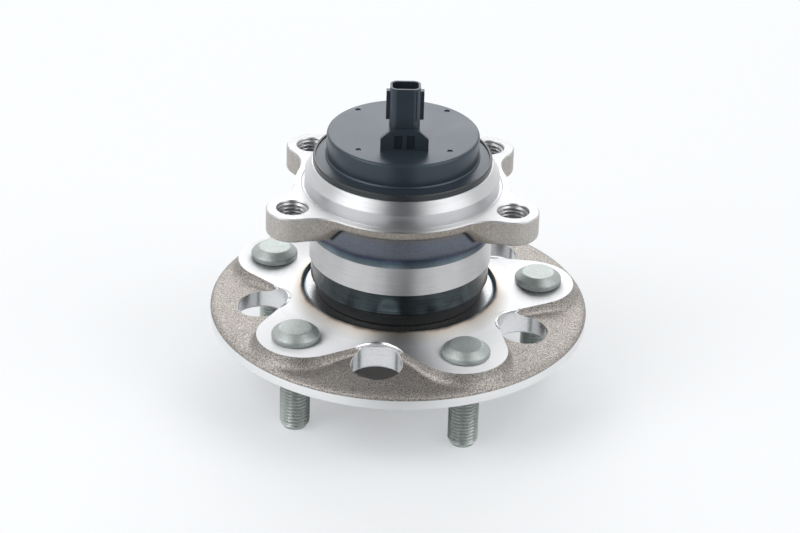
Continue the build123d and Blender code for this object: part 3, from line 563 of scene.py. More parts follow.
@dataclass(frozen=True)
class Metal:
    """Bare or coated metal with the marks of the process that finished it."""

    finish: Finish
    base: str
    shade: str
    rough: float
    grain: Grain = Grain.TURNED
    metallic: float = 1.0
    mark_mm: float = 0.35
    mark_share: float = 0.5
    bump_mm: float = 0.004
    blotch_mm: float = 14.0
    blotch_share: float = 0.25
    rough_swing: float = 0.12
    anisotropy: float = 0.0
    bands: Bands | None = None

    def marks(self, graph: Graph, place: Place) -> bpy.types.Node:
        """Fine marks: rings for a turned or ground face, even grain for a blasted or coated one.

        Args:
            graph: Graph of the material.
            place: Its object coordinates.

        Returns:
            The noise node of the marks.
        """
        if self.grain is Grain.EVEN:
            sizes = {"Scale": 1.0 / self.mark_mm, "Detail": 4.0, "Roughness": 0.65}
            return graph.add("ShaderNodeTexNoise", Vector=place.vector, **sizes)
        across = graph.add("ShaderNodeMath", {"operation": "DIVIDE"}, i0=place.radius, i1=self.mark_mm)
        up = graph.add("ShaderNodeMath", {"operation": "DIVIDE"}, i0=place.height, i1=self.mark_mm)
        cells_per_radian = 2.0
        around = graph.add("ShaderNodeMath", {"operation": "MULTIPLY"}, i0=place.angle, i1=cells_per_radian)
        ring = graph.add("ShaderNodeCombineXYZ", X=across, Y=up, Z=around)
        return graph.add("ShaderNodeTexNoise", Vector=ring, Scale=1.0, Detail=2.0, Roughness=0.7)

    def colour(self, graph: Graph, place: Place, marks: bpy.types.Node) -> bpy.types.NodeSocket:
        """Colour between base and shade, by marks and larger blotches, with the bands over it.

        Args:
            graph: Graph of the material.
            place: Its object coordinates.
            marks: Its fine marks.

        Returns:
            The colour's socket.
        """
        scale = 1.0 / self.blotch_mm
        blotch = graph.add("ShaderNodeTexNoise", Vector=place.vector, Scale=scale, Detail=3.0, Roughness=0.6)
        contrast = graph.add("ShaderNodeValToRGB", Fac=marks)
        set_stops(contrast, [(0.36, "#000000"), (0.66, "#ffffff")])
        cloud = graph.add("ShaderNodeMath", {"operation": "MULTIPLY"}, i0=blotch, i1=self.blotch_share)
        weight = {"operation": "MULTIPLY_ADD"}
        share = graph.add("ShaderNodeMath", weight, i0=contrast, i1=self.mark_share, i2=cloud)
        colours = {"i6": linear(self.base), "i7": linear(self.shade)}
        colour = graph.add("ShaderNodeMix", {"data_type": "RGBA"}, i0=share, **colours).outputs[2]
        return self.bands.lay(graph, place, colour) if self.bands else colour

    def build(self) -> bpy.types.Material:
        """Makes the material.

        Returns:
            The material.
        """
        material, graph = new_material(self.finish.value)
        place = graph.place()
        marks = self.marks(graph, place)
        swing = {"i1": 2.0 * self.rough_swing, "i2": self.rough - self.rough_swing}
        rough = graph.add("ShaderNodeMath", {"operation": "MULTIPLY_ADD"}, i0=marks, **swing)
        shader = graph.add(
            "ShaderNodeBsdfPrincipled",
            Base_Color=self.colour(graph, place, marks),
            Metallic=self.metallic,
            Roughness=rough,
            Anisotropic=self.anisotropy,
            Anisotropic_Rotation=0.25,
            Normal=graph.add("ShaderNodeBump", Strength=1.0, Distance=self.bump_mm * MM, Height=marks),
        )
        if self.anisotropy > 0.0:
            tangent = graph.add("ShaderNodeTangent", {"direction_type": "RADIAL", "axis": "Z"})
            graph.feed(shader.inputs["Tangent"], tangent)
        graph.add("ShaderNodeOutputMaterial", Surface=shader)
        return material


@dataclass(frozen=True)
class Moulded:
    """Moulded plastic or rubber with eroded-tool grain and softly broken edges."""

    finish: Finish
    base: str
    shade: str
    rough: float
    grain_mm: float = 0.3
    bump_mm: float = 0.004
    edge_mm: float = 0.25
    shine: float = 0.5
    shine_tint: str = "#ffffff"
    rough_swing: float = 0.06
    cloud_mm: float = 12.5

    def build(self) -> bpy.types.Material:
        """Makes the material.

        Returns:
            The material.
        """
        material, graph = new_material(self.finish.value)
        vector = graph.place().vector
        detail = {"Detail": 3.0, "Roughness": 0.6}
        grain = graph.add("ShaderNodeTexNoise", Vector=vector, Scale=1.0 / self.grain_mm, **detail)
        cloud = graph.add("ShaderNodeTexNoise", Vector=vector, Scale=1.0 / self.cloud_mm, **detail)
        colours = {"i6": linear(self.base), "i7": linear(self.shade)}
        swing = {"i1": 2.0 * self.rough_swing, "i2": self.rough - self.rough_swing}
        edge = graph.add("ShaderNodeBevel", {"samples": 4}, Radius=self.edge_mm * MM)
        relief = {"Strength": 1.0, "Distance": self.bump_mm * MM}
        shader = graph.add(
            "ShaderNodeBsdfPrincipled",
            Base_Color=graph.add("ShaderNodeMix", {"data_type": "RGBA"}, i0=cloud, **colours).outputs[2],
            Roughness=graph.add("ShaderNodeMath", {"operation": "MULTIPLY_ADD"}, i0=cloud, **swing),
            Specular_IOR_Level=self.shine,
            Specular_Tint=linear(self.shine_tint),
            Normal=graph.add("ShaderNodeBump", Height=grain, Normal=edge, **relief),
        )
        graph.add("ShaderNodeOutputMaterial", Surface=shader)
        return material


def hub_finishes() -> list[Metal]:
    """Finishes of the hub and its studs.

    Returns:
        One entry for each finish.
    """
    face = Metal(
        Finish.MACHINED_STEEL, "#dddee0", "#c7c8ca", 0.56,
        mark_mm=0.25, mark_share=0.25, bump_mm=0.0004, rough_swing=0.05, anisotropy=0.95,
    )
    tints = (
        (39.1, "#3c352f"), (39.5, "#857568"), (40.0, "#c6bcb1"),
        (41.2, "#cfcbc5"), (43.0, "#d4d3d2"), (46.5, "#dbdcde"),
    )
    return [
        # Fine facing cut with a carbide tip: bright, with faint rings that smear reflections radially.
        face,
        # The same cut beside the seal recess, tinted brown to pink where hardening heat reached it.
        replace(face, finish=Finish.TINTED_CROWN, bands=Bands(Along.RADIUS, tints, 0.9)),
        # Edge of the seal recess, blued almost black by the same heat.
        Metal(Finish.HARDENED_EDGE, "#55626a", "#2b343a", 0.22, mark_mm=0.4, bump_mm=0.0015),
        # Turned rim of the flange, a coarser and duller cut.
        Metal(
            Finish.RIM_CUT, "#f0f1f2", "#dcddde", 0.5, metallic=0.7,
            mark_mm=0.3, mark_share=0.3, bump_mm=0.001, anisotropy=0.6,
        ),
        # Wheel pilot's outer wall: dark grey, half matt, a painted shade for the dark that falls under the
        # flange.
        Metal(
            Finish.PILOT_PAINTED_SHADE, "#5f5d5b", "#4a4846", 0.5, metallic=0.5,
            mark_mm=0.4, mark_share=0.3, bump_mm=0.002,
        ),
        # Shot-blasted forging skin: dull grey with a brown cast and bright peened grains.
        Metal(
            Finish.FORGED_SKIN, "#c5c0bb", "#5b5550", 0.5, Grain.EVEN, 0.85,
            mark_mm=0.5, mark_share=0.9, bump_mm=0.08, blotch_mm=9.0, blotch_share=0.2,
        ),
        # Bored hole: bright, with fine tool marks.
        Metal(Finish.BORED_WALL, "#e8e8e9", "#bcbcbe", 0.24, mark_mm=0.5, mark_share=0.2, bump_mm=0.001),
        # Zinc flake coat on the cold-headed studs: pale grey with a green cast, satin, with small pits.
        Metal(
            Finish.ZINC_FLAKE, "#b9bfbd", "#8d9593", 0.45, Grain.EVEN, 0.7,
            mark_mm=0.8, mark_share=0.35, bump_mm=0.03, blotch_mm=5.0, blotch_share=0.5,
        ),
        # The same coat on rolled threads, darker in the grooves.
        Metal(
            Finish.ZINC_THREAD, "#c6ccc9", "#7f8683", 0.42, Grain.EVEN, 0.8,
            mark_mm=0.5, bump_mm=0.015, blotch_mm=4.0,
        ),
    ]


def ring_finishes() -> list[Metal]:
    """Finishes of the outer ring.

    Returns:
        One entry for each finish.
    """
    browned = ((40.0, "#6b5d49"), (43.5, "#877b6a"), (47.5, "#b5b0aa"), (58.0, "#c9c5c0"))
    blued = (
        (39.2, "#b7bfc1"), (40.2, "#92a4ad"), (42.0, "#7892a0"), (43.7, "#4d5f7c"), (44.6, "#3b3f55"),
        (46.2, "#656973"), (50.0, "#666e7b"), (54.0, "#6f6c68"), (56.0, "#746858"),
    )
    return [
        # Finish-turned knuckle pilot: satin, with fine rings.
        Metal(
            Finish.TURNED_PILOT, "#cccdcf", "#b5b6b8", 0.45,
            mark_mm=0.25, mark_share=0.3, bump_mm=0.0006, anisotropy=0.8,
        ),
        # Turned face of the knuckle flange, a shade duller than the hub's face.
        Metal(
            Finish.FLANGE_FACE, "#cfd0d1", "#bbbcbd", 0.5,
            mark_mm=0.3, mark_share=0.3, bump_mm=0.0006, anisotropy=0.85,
        ),
        # Tapped thread: cut flanks with a satin shine.
        Metal(
            Finish.CUT_THREAD, "#c2c2c4", "#8e8e90", 0.36, Grain.EVEN,
            mark_mm=0.4, mark_share=0.4, bump_mm=0.003,
        ),
        # Forging skin of the knuckle flange, browned beside the neck by hardening heat; its base is paler
        # than the hub's skin, painted light that brightens the flange's sides and underside.
        Metal(
            Finish.FORGED_FLANGE_TINT_AND_PAINTED_LIGHT, "#dcd8d3", "#746e68", 0.55, Grain.EVEN, 0.6,
            mark_mm=0.5, mark_share=0.8, bump_mm=0.07, blotch_mm=9.0, blotch_share=0.2,
            bands=Bands(Along.RADIUS, browned, 0.45),
        ),
        # Centreless ground band: fine streaks along the circumference.
        Metal(
            Finish.GROUND_BAND, "#dededf", "#b2b2b4", 0.4,
            mark_mm=0.22, mark_share=0.4, bump_mm=0.0008, blotch_share=0.3, rough_swing=0.06,
            anisotropy=0.85,
        ),
        # Band blued by hardening heat under a film of slushing oil: greenish black and glossy.
        Metal(
            Finish.DARK_BAND, "#69747a", "#2c3635", 0.19,
            mark_mm=0.5, mark_share=0.35, bump_mm=0.001, blotch_mm=6.0, blotch_share=0.75,
        ),
        # Heat tint above the outboard race: teal on the cone, a navy line, then grey blue blasted steel.
        Metal(
            Finish.HEAT_TINT, "#83878e", "#3a3e45", 0.34, Grain.EVEN,
            mark_mm=0.6, mark_share=0.6, bump_mm=0.02, blotch_mm=6.0, blotch_share=0.5,
            bands=Bands(Along.HEIGHT, blued, 0.7),
        ),
    ]


def small_part_finishes() -> list[Metal | Moulded]:
    """Finishes of the rolling parts, the pressings and the mouldings.

    Returns:
        One entry for each finish.
    """
    return [
        # Ground and lapped bearing steel.
        Metal(Finish.BEARING_STEEL, "#d0d0d3", "#b2b2b6", 0.12, mark_mm=0.2, mark_share=0.3, bump_mm=0.0006),
        # Phosphated nut: dark grey and matt.
        Metal(Finish.PHOSPHATED_NUT, "#6d6f70", "#454748", 0.48, Grain.EVEN, 0.7, bump_mm=0.01),
        # Rolled stainless sheet under a smear of oil and dust from the lathe.
        Metal(Finish.STAINLESS_SHEET, "#c9cacc", "#77787a", 0.32, Grain.EVEN, mark_mm=0.6, mark_share=0.6),
        # Cold rolled sheet with a light oil film.
        Metal(Finish.PRESSED_SHEET, "#a9aaac", "#7c7d80", 0.32, mark_mm=0.4, mark_share=0.4, bump_mm=0.002),
        # Black coated sheet: a smooth paint film over steel.
        Metal(
            Finish.BLACK_SHEET, "#2a3033", "#22282b", 0.3, metallic=0.0,
            mark_mm=0.9, mark_share=0.3, bump_mm=0.0008,
        ),
        # Tinned bronze blades.
        Metal(Finish.TINNED_BLADE, "#cfccc4", "#a8a49a", 0.22, mark_mm=0.3, mark_share=0.3, bump_mm=0.001),
        # Black glass-filled nylon, satin from a lightly eroded tool; its shine is tinted blue, a painted
        # blue cast of the light in its reflections.
        Moulded(
            Finish.CAP_PLASTIC, "#2a323a", "#323b43", 0.33,
            grain_mm=0.35, bump_mm=0.003, shine=0.6, shine_tint="#d8e7fa",
        ),
        # First-shot moulding, dull.
        Moulded(Finish.CARRIER_PLASTIC, "#2a2a2a", "#363636", 0.5),
        # Epoxy of the sensor package.
        Moulded(Finish.CHIP_RESIN, "#1c1c1e", "#262628", 0.45),
        # Nitrile rubber, matt from its mould.
        Moulded(Finish.SEAL_RUBBER, "#131416", "#1c1e20", 0.5),
        # Ferrite-filled rubber of the encoder.
        Moulded(Finish.ENCODER_RUBBER, "#2b2826", "#383431", 0.5),
        # Natural glass-filled nylon cage.
        Moulded(Finish.CAGE_POLYMER, "#8a7f68", "#a3967b", 0.42),
    ]


@dataclass(frozen=True)
class HubOutline:
    """Star outline of the machined hub face: a lobe at each stud and a notch at each access hole."""

    count: int = 5
    phase: float = math.radians(8.2)
    lobe_at: float = 53.0
    lobe_r: float = 18.4
    notch_at: float = 55.1
    notch_r: float = 10.2

    def folded(self, angle: float) -> float:
        """Angle from the nearest stud, from 0 to half a step."""
        step = TURN / self.count
        return abs((angle - self.phase + step / 2.0) % step - step / 2.0)

    def corners(self) -> tuple[Vector, Vector, Vector, Vector]:
        """Lobe centre, notch centre, and the joining line's normal and direction, in the folded sector.

        Returns:
            The two centres and the two unit vectors.
        """
        lobe = Vector((self.lobe_at, 0.0))
        notch = Vector(polar(self.notch_at, TURN / self.count / 2.0))
        between = notch - lobe
        turn = math.atan2(between.y, between.x) - math.acos((self.lobe_r + self.notch_r) / between.length)
        normal = Vector(polar(1.0, turn))
        return lobe, notch, normal, Vector((-normal.y, normal.x))

    def distance(self, x: float, y: float) -> float:
        """Signed distance from the outline, positive outside.

        Args:
            x: First coordinate in millimetres.
            y: Second coordinate in millimetres.

        Returns:
            The distance in millimetres.
        """
        lobe, notch, normal, along = self.corners()
        spot = Vector(polar(math.hypot(x, y), self.folded(math.atan2(y, x))))
        start = lobe + normal * self.lobe_r
        end = notch - normal * self.notch_r
        t = (spot - start).dot(along)
        if t < 0.0:
            return (spot - lobe).length - self.lobe_r
        if t > (end - start).dot(along):
            return self.notch_r - (spot - notch).length
        return (spot - start).dot(normal)

    def radius(self, angle: float, grow: float) -> float:
        """Distance of the grown outline from the bearing axis, in one direction.

        Args:
            angle: Direction in radians.
            grow: How far the outline is grown.

        Returns:
            The distance in millimetres.
        """
        lobe, notch, normal, _ = self.corners()
        t = self.folded(angle)
        start = lobe + normal * (self.lobe_r + grow)
        end = notch - normal * (self.notch_r - grow)
        if t < math.atan2(start.y, start.x):
            reach = self.lobe_r + grow
            return self.lobe_at * math.cos(t) + math.sqrt(reach**2 - (self.lobe_at * math.sin(t)) ** 2)
        if t < math.atan2(end.y, end.x):
            return start.dot(normal) / Vector(polar(1.0, t)).dot(normal)
        u = TURN / self.count / 2.0 - t
        reach = self.notch_r - grow
        inside = max(reach**2 - (self.notch_at * math.sin(u)) ** 2, 0.0)
        return self.notch_at * math.cos(u) - math.sqrt(inside)


@dataclass
class Hub:
    """Forged hub with the machined star face, access holes, spindle and wheel pilot."""

    outline: HubOutline = field(default_factory=HubOutline)
    rim_r: float = 75.75
    rim_top: float = 3.95
    pad: float = 10.7
    plate_knots: tuple[Flat, ...] = (
        (74.75, 5.2), (71.0, 5.75), (65.0, 6.55), (58.0, 7.35), (52.0, 7.8), (0.0, 7.8),
    )
    flank_drop: float = 5.4
    flank_reach: float = 1.45
    flank_root: float = 1.2
    crown_foot: float = 46.0
    crown_edge: float = 39.25
    crown_r: float = 9.306
    recess_z: float = 12.0
    hole_r: float = 10.0
    rim_break: float = 0.15
    countersink: float = 1.2
    back_r: float = 11.1
    stud_at: float = 57.15
    stud_r: float = 7.15
    face_in: float = 34.0
    relief_z: float = 0.8
    pilot_r: float = 30.0
    pilot_z: float = -16.0
    pocket_z: float = 6.0
    land_r: float = 25.3
    stub_r: float = 15.0
    spindle_z: float = 69.3
    star_steps: int = 900

    def crown(self, radius: float) -> float:
        """Height of the machined face: flat outside, a hollow arc up to the recess inside."""
        away = min(max(self.crown_foot - radius, 0.0), self.crown_foot - self.crown_edge)
        return self.pad + self.crown_r - math.sqrt(self.crown_r**2 - away**2)

    def plate(self, radius: float) -> float:
        """Height of the forged plate.

        Args:
            radius: Distance from the axis.

        Returns:
            The height in millimetres.
        """
        knots = self.plate_knots
        for (outer, low), (inner, high) in zip(knots, knots[1:]):
            if radius >= inner:
                t = min(max((outer - radius) / (outer - inner), 0.0), 1.0)
                return low + (high - low) * t
        return knots[-1][1]

    def forged(self, x: float, y: float) -> float:
        """Height of star face, swept flank and plate, before the holes are countersunk.

        Args:
            x: First coordinate in millimetres.
            y: Second coordinate in millimetres.

        Returns:
            The height in millimetres.
        """
        radius = math.hypot(x, y)
        away = self.outline.distance(x, y)
        face = self.crown(radius)
        if away <= 1e-6:
            return face
        flank = face - self.flank_drop * (1.0 - math.exp(-away / self.flank_reach))
        return smooth_max(self.plate(radius), flank, self.flank_root)

    def cone(self, x: float, y: float) -> float:
        """Height of the nearest access hole's countersink."""
        away = min(math.dist((x, y), centre) for centre in self.hole_centres())
        return self.pad - self.countersink + away - self.hole_r

    def top(self, x: float, y: float) -> float:
        """Height of the finished knuckle side of the flange."""
        return min(self.forged(x, y), self.cone(x, y))

    def hole_centres(self) -> list[Flat]:
        """Works out the centres of the access holes.

        Returns:
            One centre for each hole.
        """
        step = TURN / self.outline.count
        turns = (self.outline.phase + (k + 0.5) * step for k in range(self.outline.count))
        return [polar(self.outline.notch_at, turn) for turn in turns]

    def stud_centres(self) -> list[Flat]:
        """Centres of the wheel studs."""
        step = TURN / self.outline.count
        return [polar(self.stud_at, self.outline.phase + k * step) for k in range(self.outline.count)]

    def clear(self, x: float, y: float, hole_r: float, margin: float = 0.0) -> bool:
        """Tells whether a point lies outside all holes."""
        holes = all(math.dist((x, y), c) > hole_r + margin for c in self.hole_centres())
        return holes and all(math.dist((x, y), c) > self.stud_r + margin for c in self.stud_centres())

    def fill_points(self) -> list[Flat]:
        """Points between the loops of the top: rows that follow flank and crown, and a grid on the plate.

        Returns:
            The points in the XY plane.
        """
        flank_rows = (0.22, 0.5, 0.85, 1.3, 1.9, 2.6, 3.5, 4.6, 6.0)
        crown_rows = (40.0, 41.0, 42.0, 43.0, 44.0, 45.0, 46.0, 47.5)
        sink_rows = (0.3, 0.5, 0.7, 0.9, 1.1, self.countersink, 1.35, 1.55)
        past_flank, crown_steps, sink_steps = 6.6, 240, 180
        spacing, ring_step = 1.9, 1.7
        sink_margin, stud_margin, recess_margin, rim_margin, outline_margin = 0.7, 0.3, 0.4, 1.6, 0.1
        turns = [TURN * k / self.star_steps for k in range(self.star_steps)]
        spots = [polar(self.outline.radius(turn, grow), turn) for grow in flank_rows for turn in turns]
        spots += [polar(r, TURN * (k + 0.5) / crown_steps) for r in crown_rows for k in range(crown_steps)]
        plate = grid(self.crown_foot + 2.0, self.rim_r - 1.8, spacing, ring_step)
        spots += [p for p in plate if self.outline.distance(*p) > past_flank]
        sunk = self.hole_r + self.countersink
        spots = [p for p in spots if self.clear(*p, sunk + sink_margin, stud_margin)]
        for centre in self.hole_centres():
            for reach in sink_rows:
                spots += [(x, y) for x, y, _ in circle(self.hole_r + reach, 0.0, sink_steps, centre)]
        first, last = self.crown_edge + recess_margin, self.rim_r - rim_margin
        spots = [p for p in spots if first < math.hypot(*p) < last]
        return [p for p in spots if abs(self.outline.distance(*p)) > outline_margin]

    def hole_walls(self, skin: Skin) -> tuple[list[Loop], list[Loop]]:
        """Builds the access hole walls, with an edge break above and a chamfer below.

        Args:
            skin: Surface to add to.

        Returns:
            The mouth loops in the top and in the wheel face.
        """
        tops, backs = [], []
        steps = 120
        for centre in self.hole_centres():
            mouth = circle(self.hole_r + self.rim_break, 0.0, steps, centre)
            rim = [(x, y, self.top(x, y)) for x, y, _ in mouth]
            bore = circle(self.hole_r, 0.0, steps, centre)
            wall = [(x, y, high[2] - self.rim_break) for (x, y, _), high in zip(bore, rim)]
            low = circle(self.hole_r, self.back_r - self.hole_r, steps, centre)
            top = skin.loop(rim)
            inner = skin.bands(top, [wall], Finish.MACHINED_STEEL)
            inner = skin.bands(inner, [low], Finish.BORED_WALL)
            backs.append(skin.bands(inner, [circle(self.back_r, 0.0, steps, centre)], Finish.MACHINED_STEEL))
            tops.append(top)
        return tops, backs

    def stud_walls(self, skin: Skin) -> tuple[list[Loop], list[Loop]]:
        """Builds the pressed stud holes.

        Args:
            skin: Surface to add to.

        Returns:
            Their loops in the top and in the wheel face.
        """
        tops, backs = [], []
        steps = 64
        for centre in self.stud_centres():
            top = skin.loop(circle(self.stud_r, self.pad, steps, centre))
            backs.append(skin.bands(top, [circle(self.stud_r, 0.0, steps, centre)], Finish.BORED_WALL))
            tops.append(top)
        return tops, backs

    def paint_top(self, x: float, y: float) -> Finish:
        """Finish of the top at a point.

        Args:
            x: First coordinate in millimetres.
            y: Second coordinate in millimetres.

        Returns:
            The finish.
        """
        cut_depth = 0.02
        if self.cone(x, y) < self.forged(x, y) - cut_depth:
            return Finish.BORED_WALL
        if self.outline.distance(x, y) > 0.0:
            return Finish.FORGED_SKIN
        near_crown = math.hypot(x, y) < self.crown_foot + 1.0
        return Finish.TINTED_CROWN if near_crown else Finish.MACHINED_STEEL

    def build(self, finishes: Finishes) -> None:
        """Makes the hub.

        Args:
            finishes: Materials by finish.
        """
        skin = Skin("hub_forging")
        turns = [TURN * k / self.star_steps for k in range(self.star_steps)]
        flat = [polar(self.outline.radius(turn, 0.0), turn) for turn in turns]
        star = skin.loop((x, y, self.crown(math.hypot(x, y))) for x, y in flat)
        outer = skin.loop(circle(*self.plate_knots[0], 360))
        recess = skin.loop(circle(self.crown_edge, self.crown(self.crown_edge)))
        hole_tops, hole_backs = self.hole_walls(skin)
        stud_tops, stud_backs = self.stud_walls(skin)
        mouth_r = self.hole_r + self.rim_break
        skin.sheet(
            [outer, recess, star, *hole_tops, *stud_tops],
            self.fill_points(),
            self.top,
            lambda x, y: math.hypot(x, y) > self.crown_edge and self.clear(x, y, mouth_r),
            self.paint_top,
        )
        shoulder = [(self.rim_r - 0.45, 4.93), (self.rim_r - 0.1, 4.45), (self.rim_r, self.rim_top)]
        edge = skin.turned(outer, shoulder, Finish.FORGED_SKIN)
        bottom = skin.turned(edge, [(self.rim_r, 0.35), (self.rim_r - 0.35, 0.0)], Finish.RIM_CUT)
        face_in = skin.loop(circle(self.face_in, 0.0))
        skin.sheet(
            [bottom, face_in, *hole_backs, *stud_backs],
            [],
            lambda x, y: 0.0,
            lambda x, y: math.hypot(x, y) > self.face_in and self.clear(x, y, self.back_r),
            lambda x, y: Finish.MACHINED_STEEL,
        )
        self.pilot(skin, face_in)
        self.spindle(skin, recess)
        skin.build(finishes, "hub", "hub_flange")

    def pilot(self, skin: Skin, start: Loop) -> None:
        """Wheel pilot and the forging pocket inside it.

        Args:
            skin: Surface to add to.
            start: Inner loop of the wheel face.
        """
        relief = [(self.face_in - 0.8, self.relief_z), (self.pilot_r + 0.4, self.relief_z)]
        outside = [
            Corner(self.pilot_r + 0.4, self.relief_z),
            Corner(self.pilot_r, self.relief_z - 0.4),
            Corner(self.pilot_r, -13.6, 0.6),
            Corner(28.9, self.pilot_z + 0.2),
        ]
        end = [
            Corner(28.9, self.pilot_z + 0.2),
            Corner(28.7, self.pilot_z),
            Corner(21.6, self.pilot_z, 0.8),
            Corner(20.8, self.pilot_z + 1.0),
        ]
        pocket = [
            Corner(20.8, self.pilot_z + 1.0),
            Corner(13.5, 3.6, 2.0),
            Corner(11.1, self.pocket_z, 1.6),
            Corner(0.4, self.pocket_z),
        ]
        top = skin.turned(start, relief, Finish.MACHINED_STEEL)
        # The pilot's outer wall is painted dark: painted shade under the flange.
        wall = skin.turned(top, rounded(outside), Finish.PILOT_PAINTED_SHADE)
        lip = skin.turned(wall, rounded(end), Finish.MACHINED_STEEL)
        skin.close(skin.turned(lip, rounded(pocket), Finish.FORGED_SKIN), Finish.FORGED_SKIN)

    def spindle(self, skin: Skin, start: Loop) -> None:
        """Recess, seal land, outboard race and stub.

        Args:
            skin: Surface to add to.
            start: Inner loop of the crown.
        """
        edge = [Corner(self.crown_edge, 13.6), Corner(38.1, self.recess_z, 0.3), Corner(37.6, self.recess_z)]
        wall = skin.turned(start, rounded(edge), Finish.HARDENED_EDGE)
        land = skin.turned(wall, [(self.land_r, self.recess_z)], Finish.MACHINED_STEEL)
        ground = [(self.land_r, 21.1), (24.39, 22.0)]
        race = raceway((26.141, 28.999), 252.4, 152.0)
        stub = [(21.04, 39.9), (self.stub_r, 39.9), (self.stub_r, 59.9), (12.0, 59.9)]
        end = [(12.0, self.spindle_z - 1.0), (11.0, self.spindle_z)]
        last = skin.turned(land, [*ground, *race, *stub, *end], Finish.BEARING_STEEL)
        skin.close(last, Finish.BEARING_STEEL)


@dataclass(frozen=True)
class KnuckleOutline:
    """Outline of the knuckle flange: a circle with four bosses and concave arcs between."""

    base_r: float = 42.3
    bolt_at: float = 48.5
    boss_r: float = 10.3
    blend_r: float = 18.0
    angles: tuple[float, ...] = (-28.0, 42.5, 137.5, 208.0)

    def centres(self) -> list[Flat]:
        """Centres of the bosses."""
        return [polar(self.bolt_at, math.radians(a)) for a in self.angles]

    def nearest(self, angle: float) -> float:
        """Angle from the nearest boss."""
        return min(abs((angle - math.radians(a) + math.pi) % TURN - math.pi) for a in self.angles)

    def radius(self, angle: float, grow: float = 0.0) -> float:
        """Distance of the grown outline from the axis, in one direction.

        Args:
            angle: Direction in radians.
            grow: How far the outline is grown.

        Returns:
            The distance in millimetres.
        """
        far = self.base_r + self.blend_r
        near = self.boss_r + self.blend_r
        swing = math.acos((far**2 + self.bolt_at**2 - near**2) / (2.0 * far * self.bolt_at))
        centre = Vector(polar(far, swing))
        boss = Vector((self.bolt_at, 0.0))
        touch = boss + (centre - boss).normalized() * (self.boss_r + grow)
        u = self.nearest(angle)
        if u < math.atan2(touch.y, touch.x):
            reach = (self.boss_r + grow) ** 2 - (self.bolt_at * math.sin(u)) ** 2
            return self.bolt_at * math.cos(u) + math.sqrt(max(reach, 0.0))
        if u < swing:
            w = swing - u
            reach = (self.blend_r - grow) ** 2 - (far * math.sin(w)) ** 2
            return far * math.cos(w) - math.sqrt(max(reach, 0.0))
        return self.base_r + grow


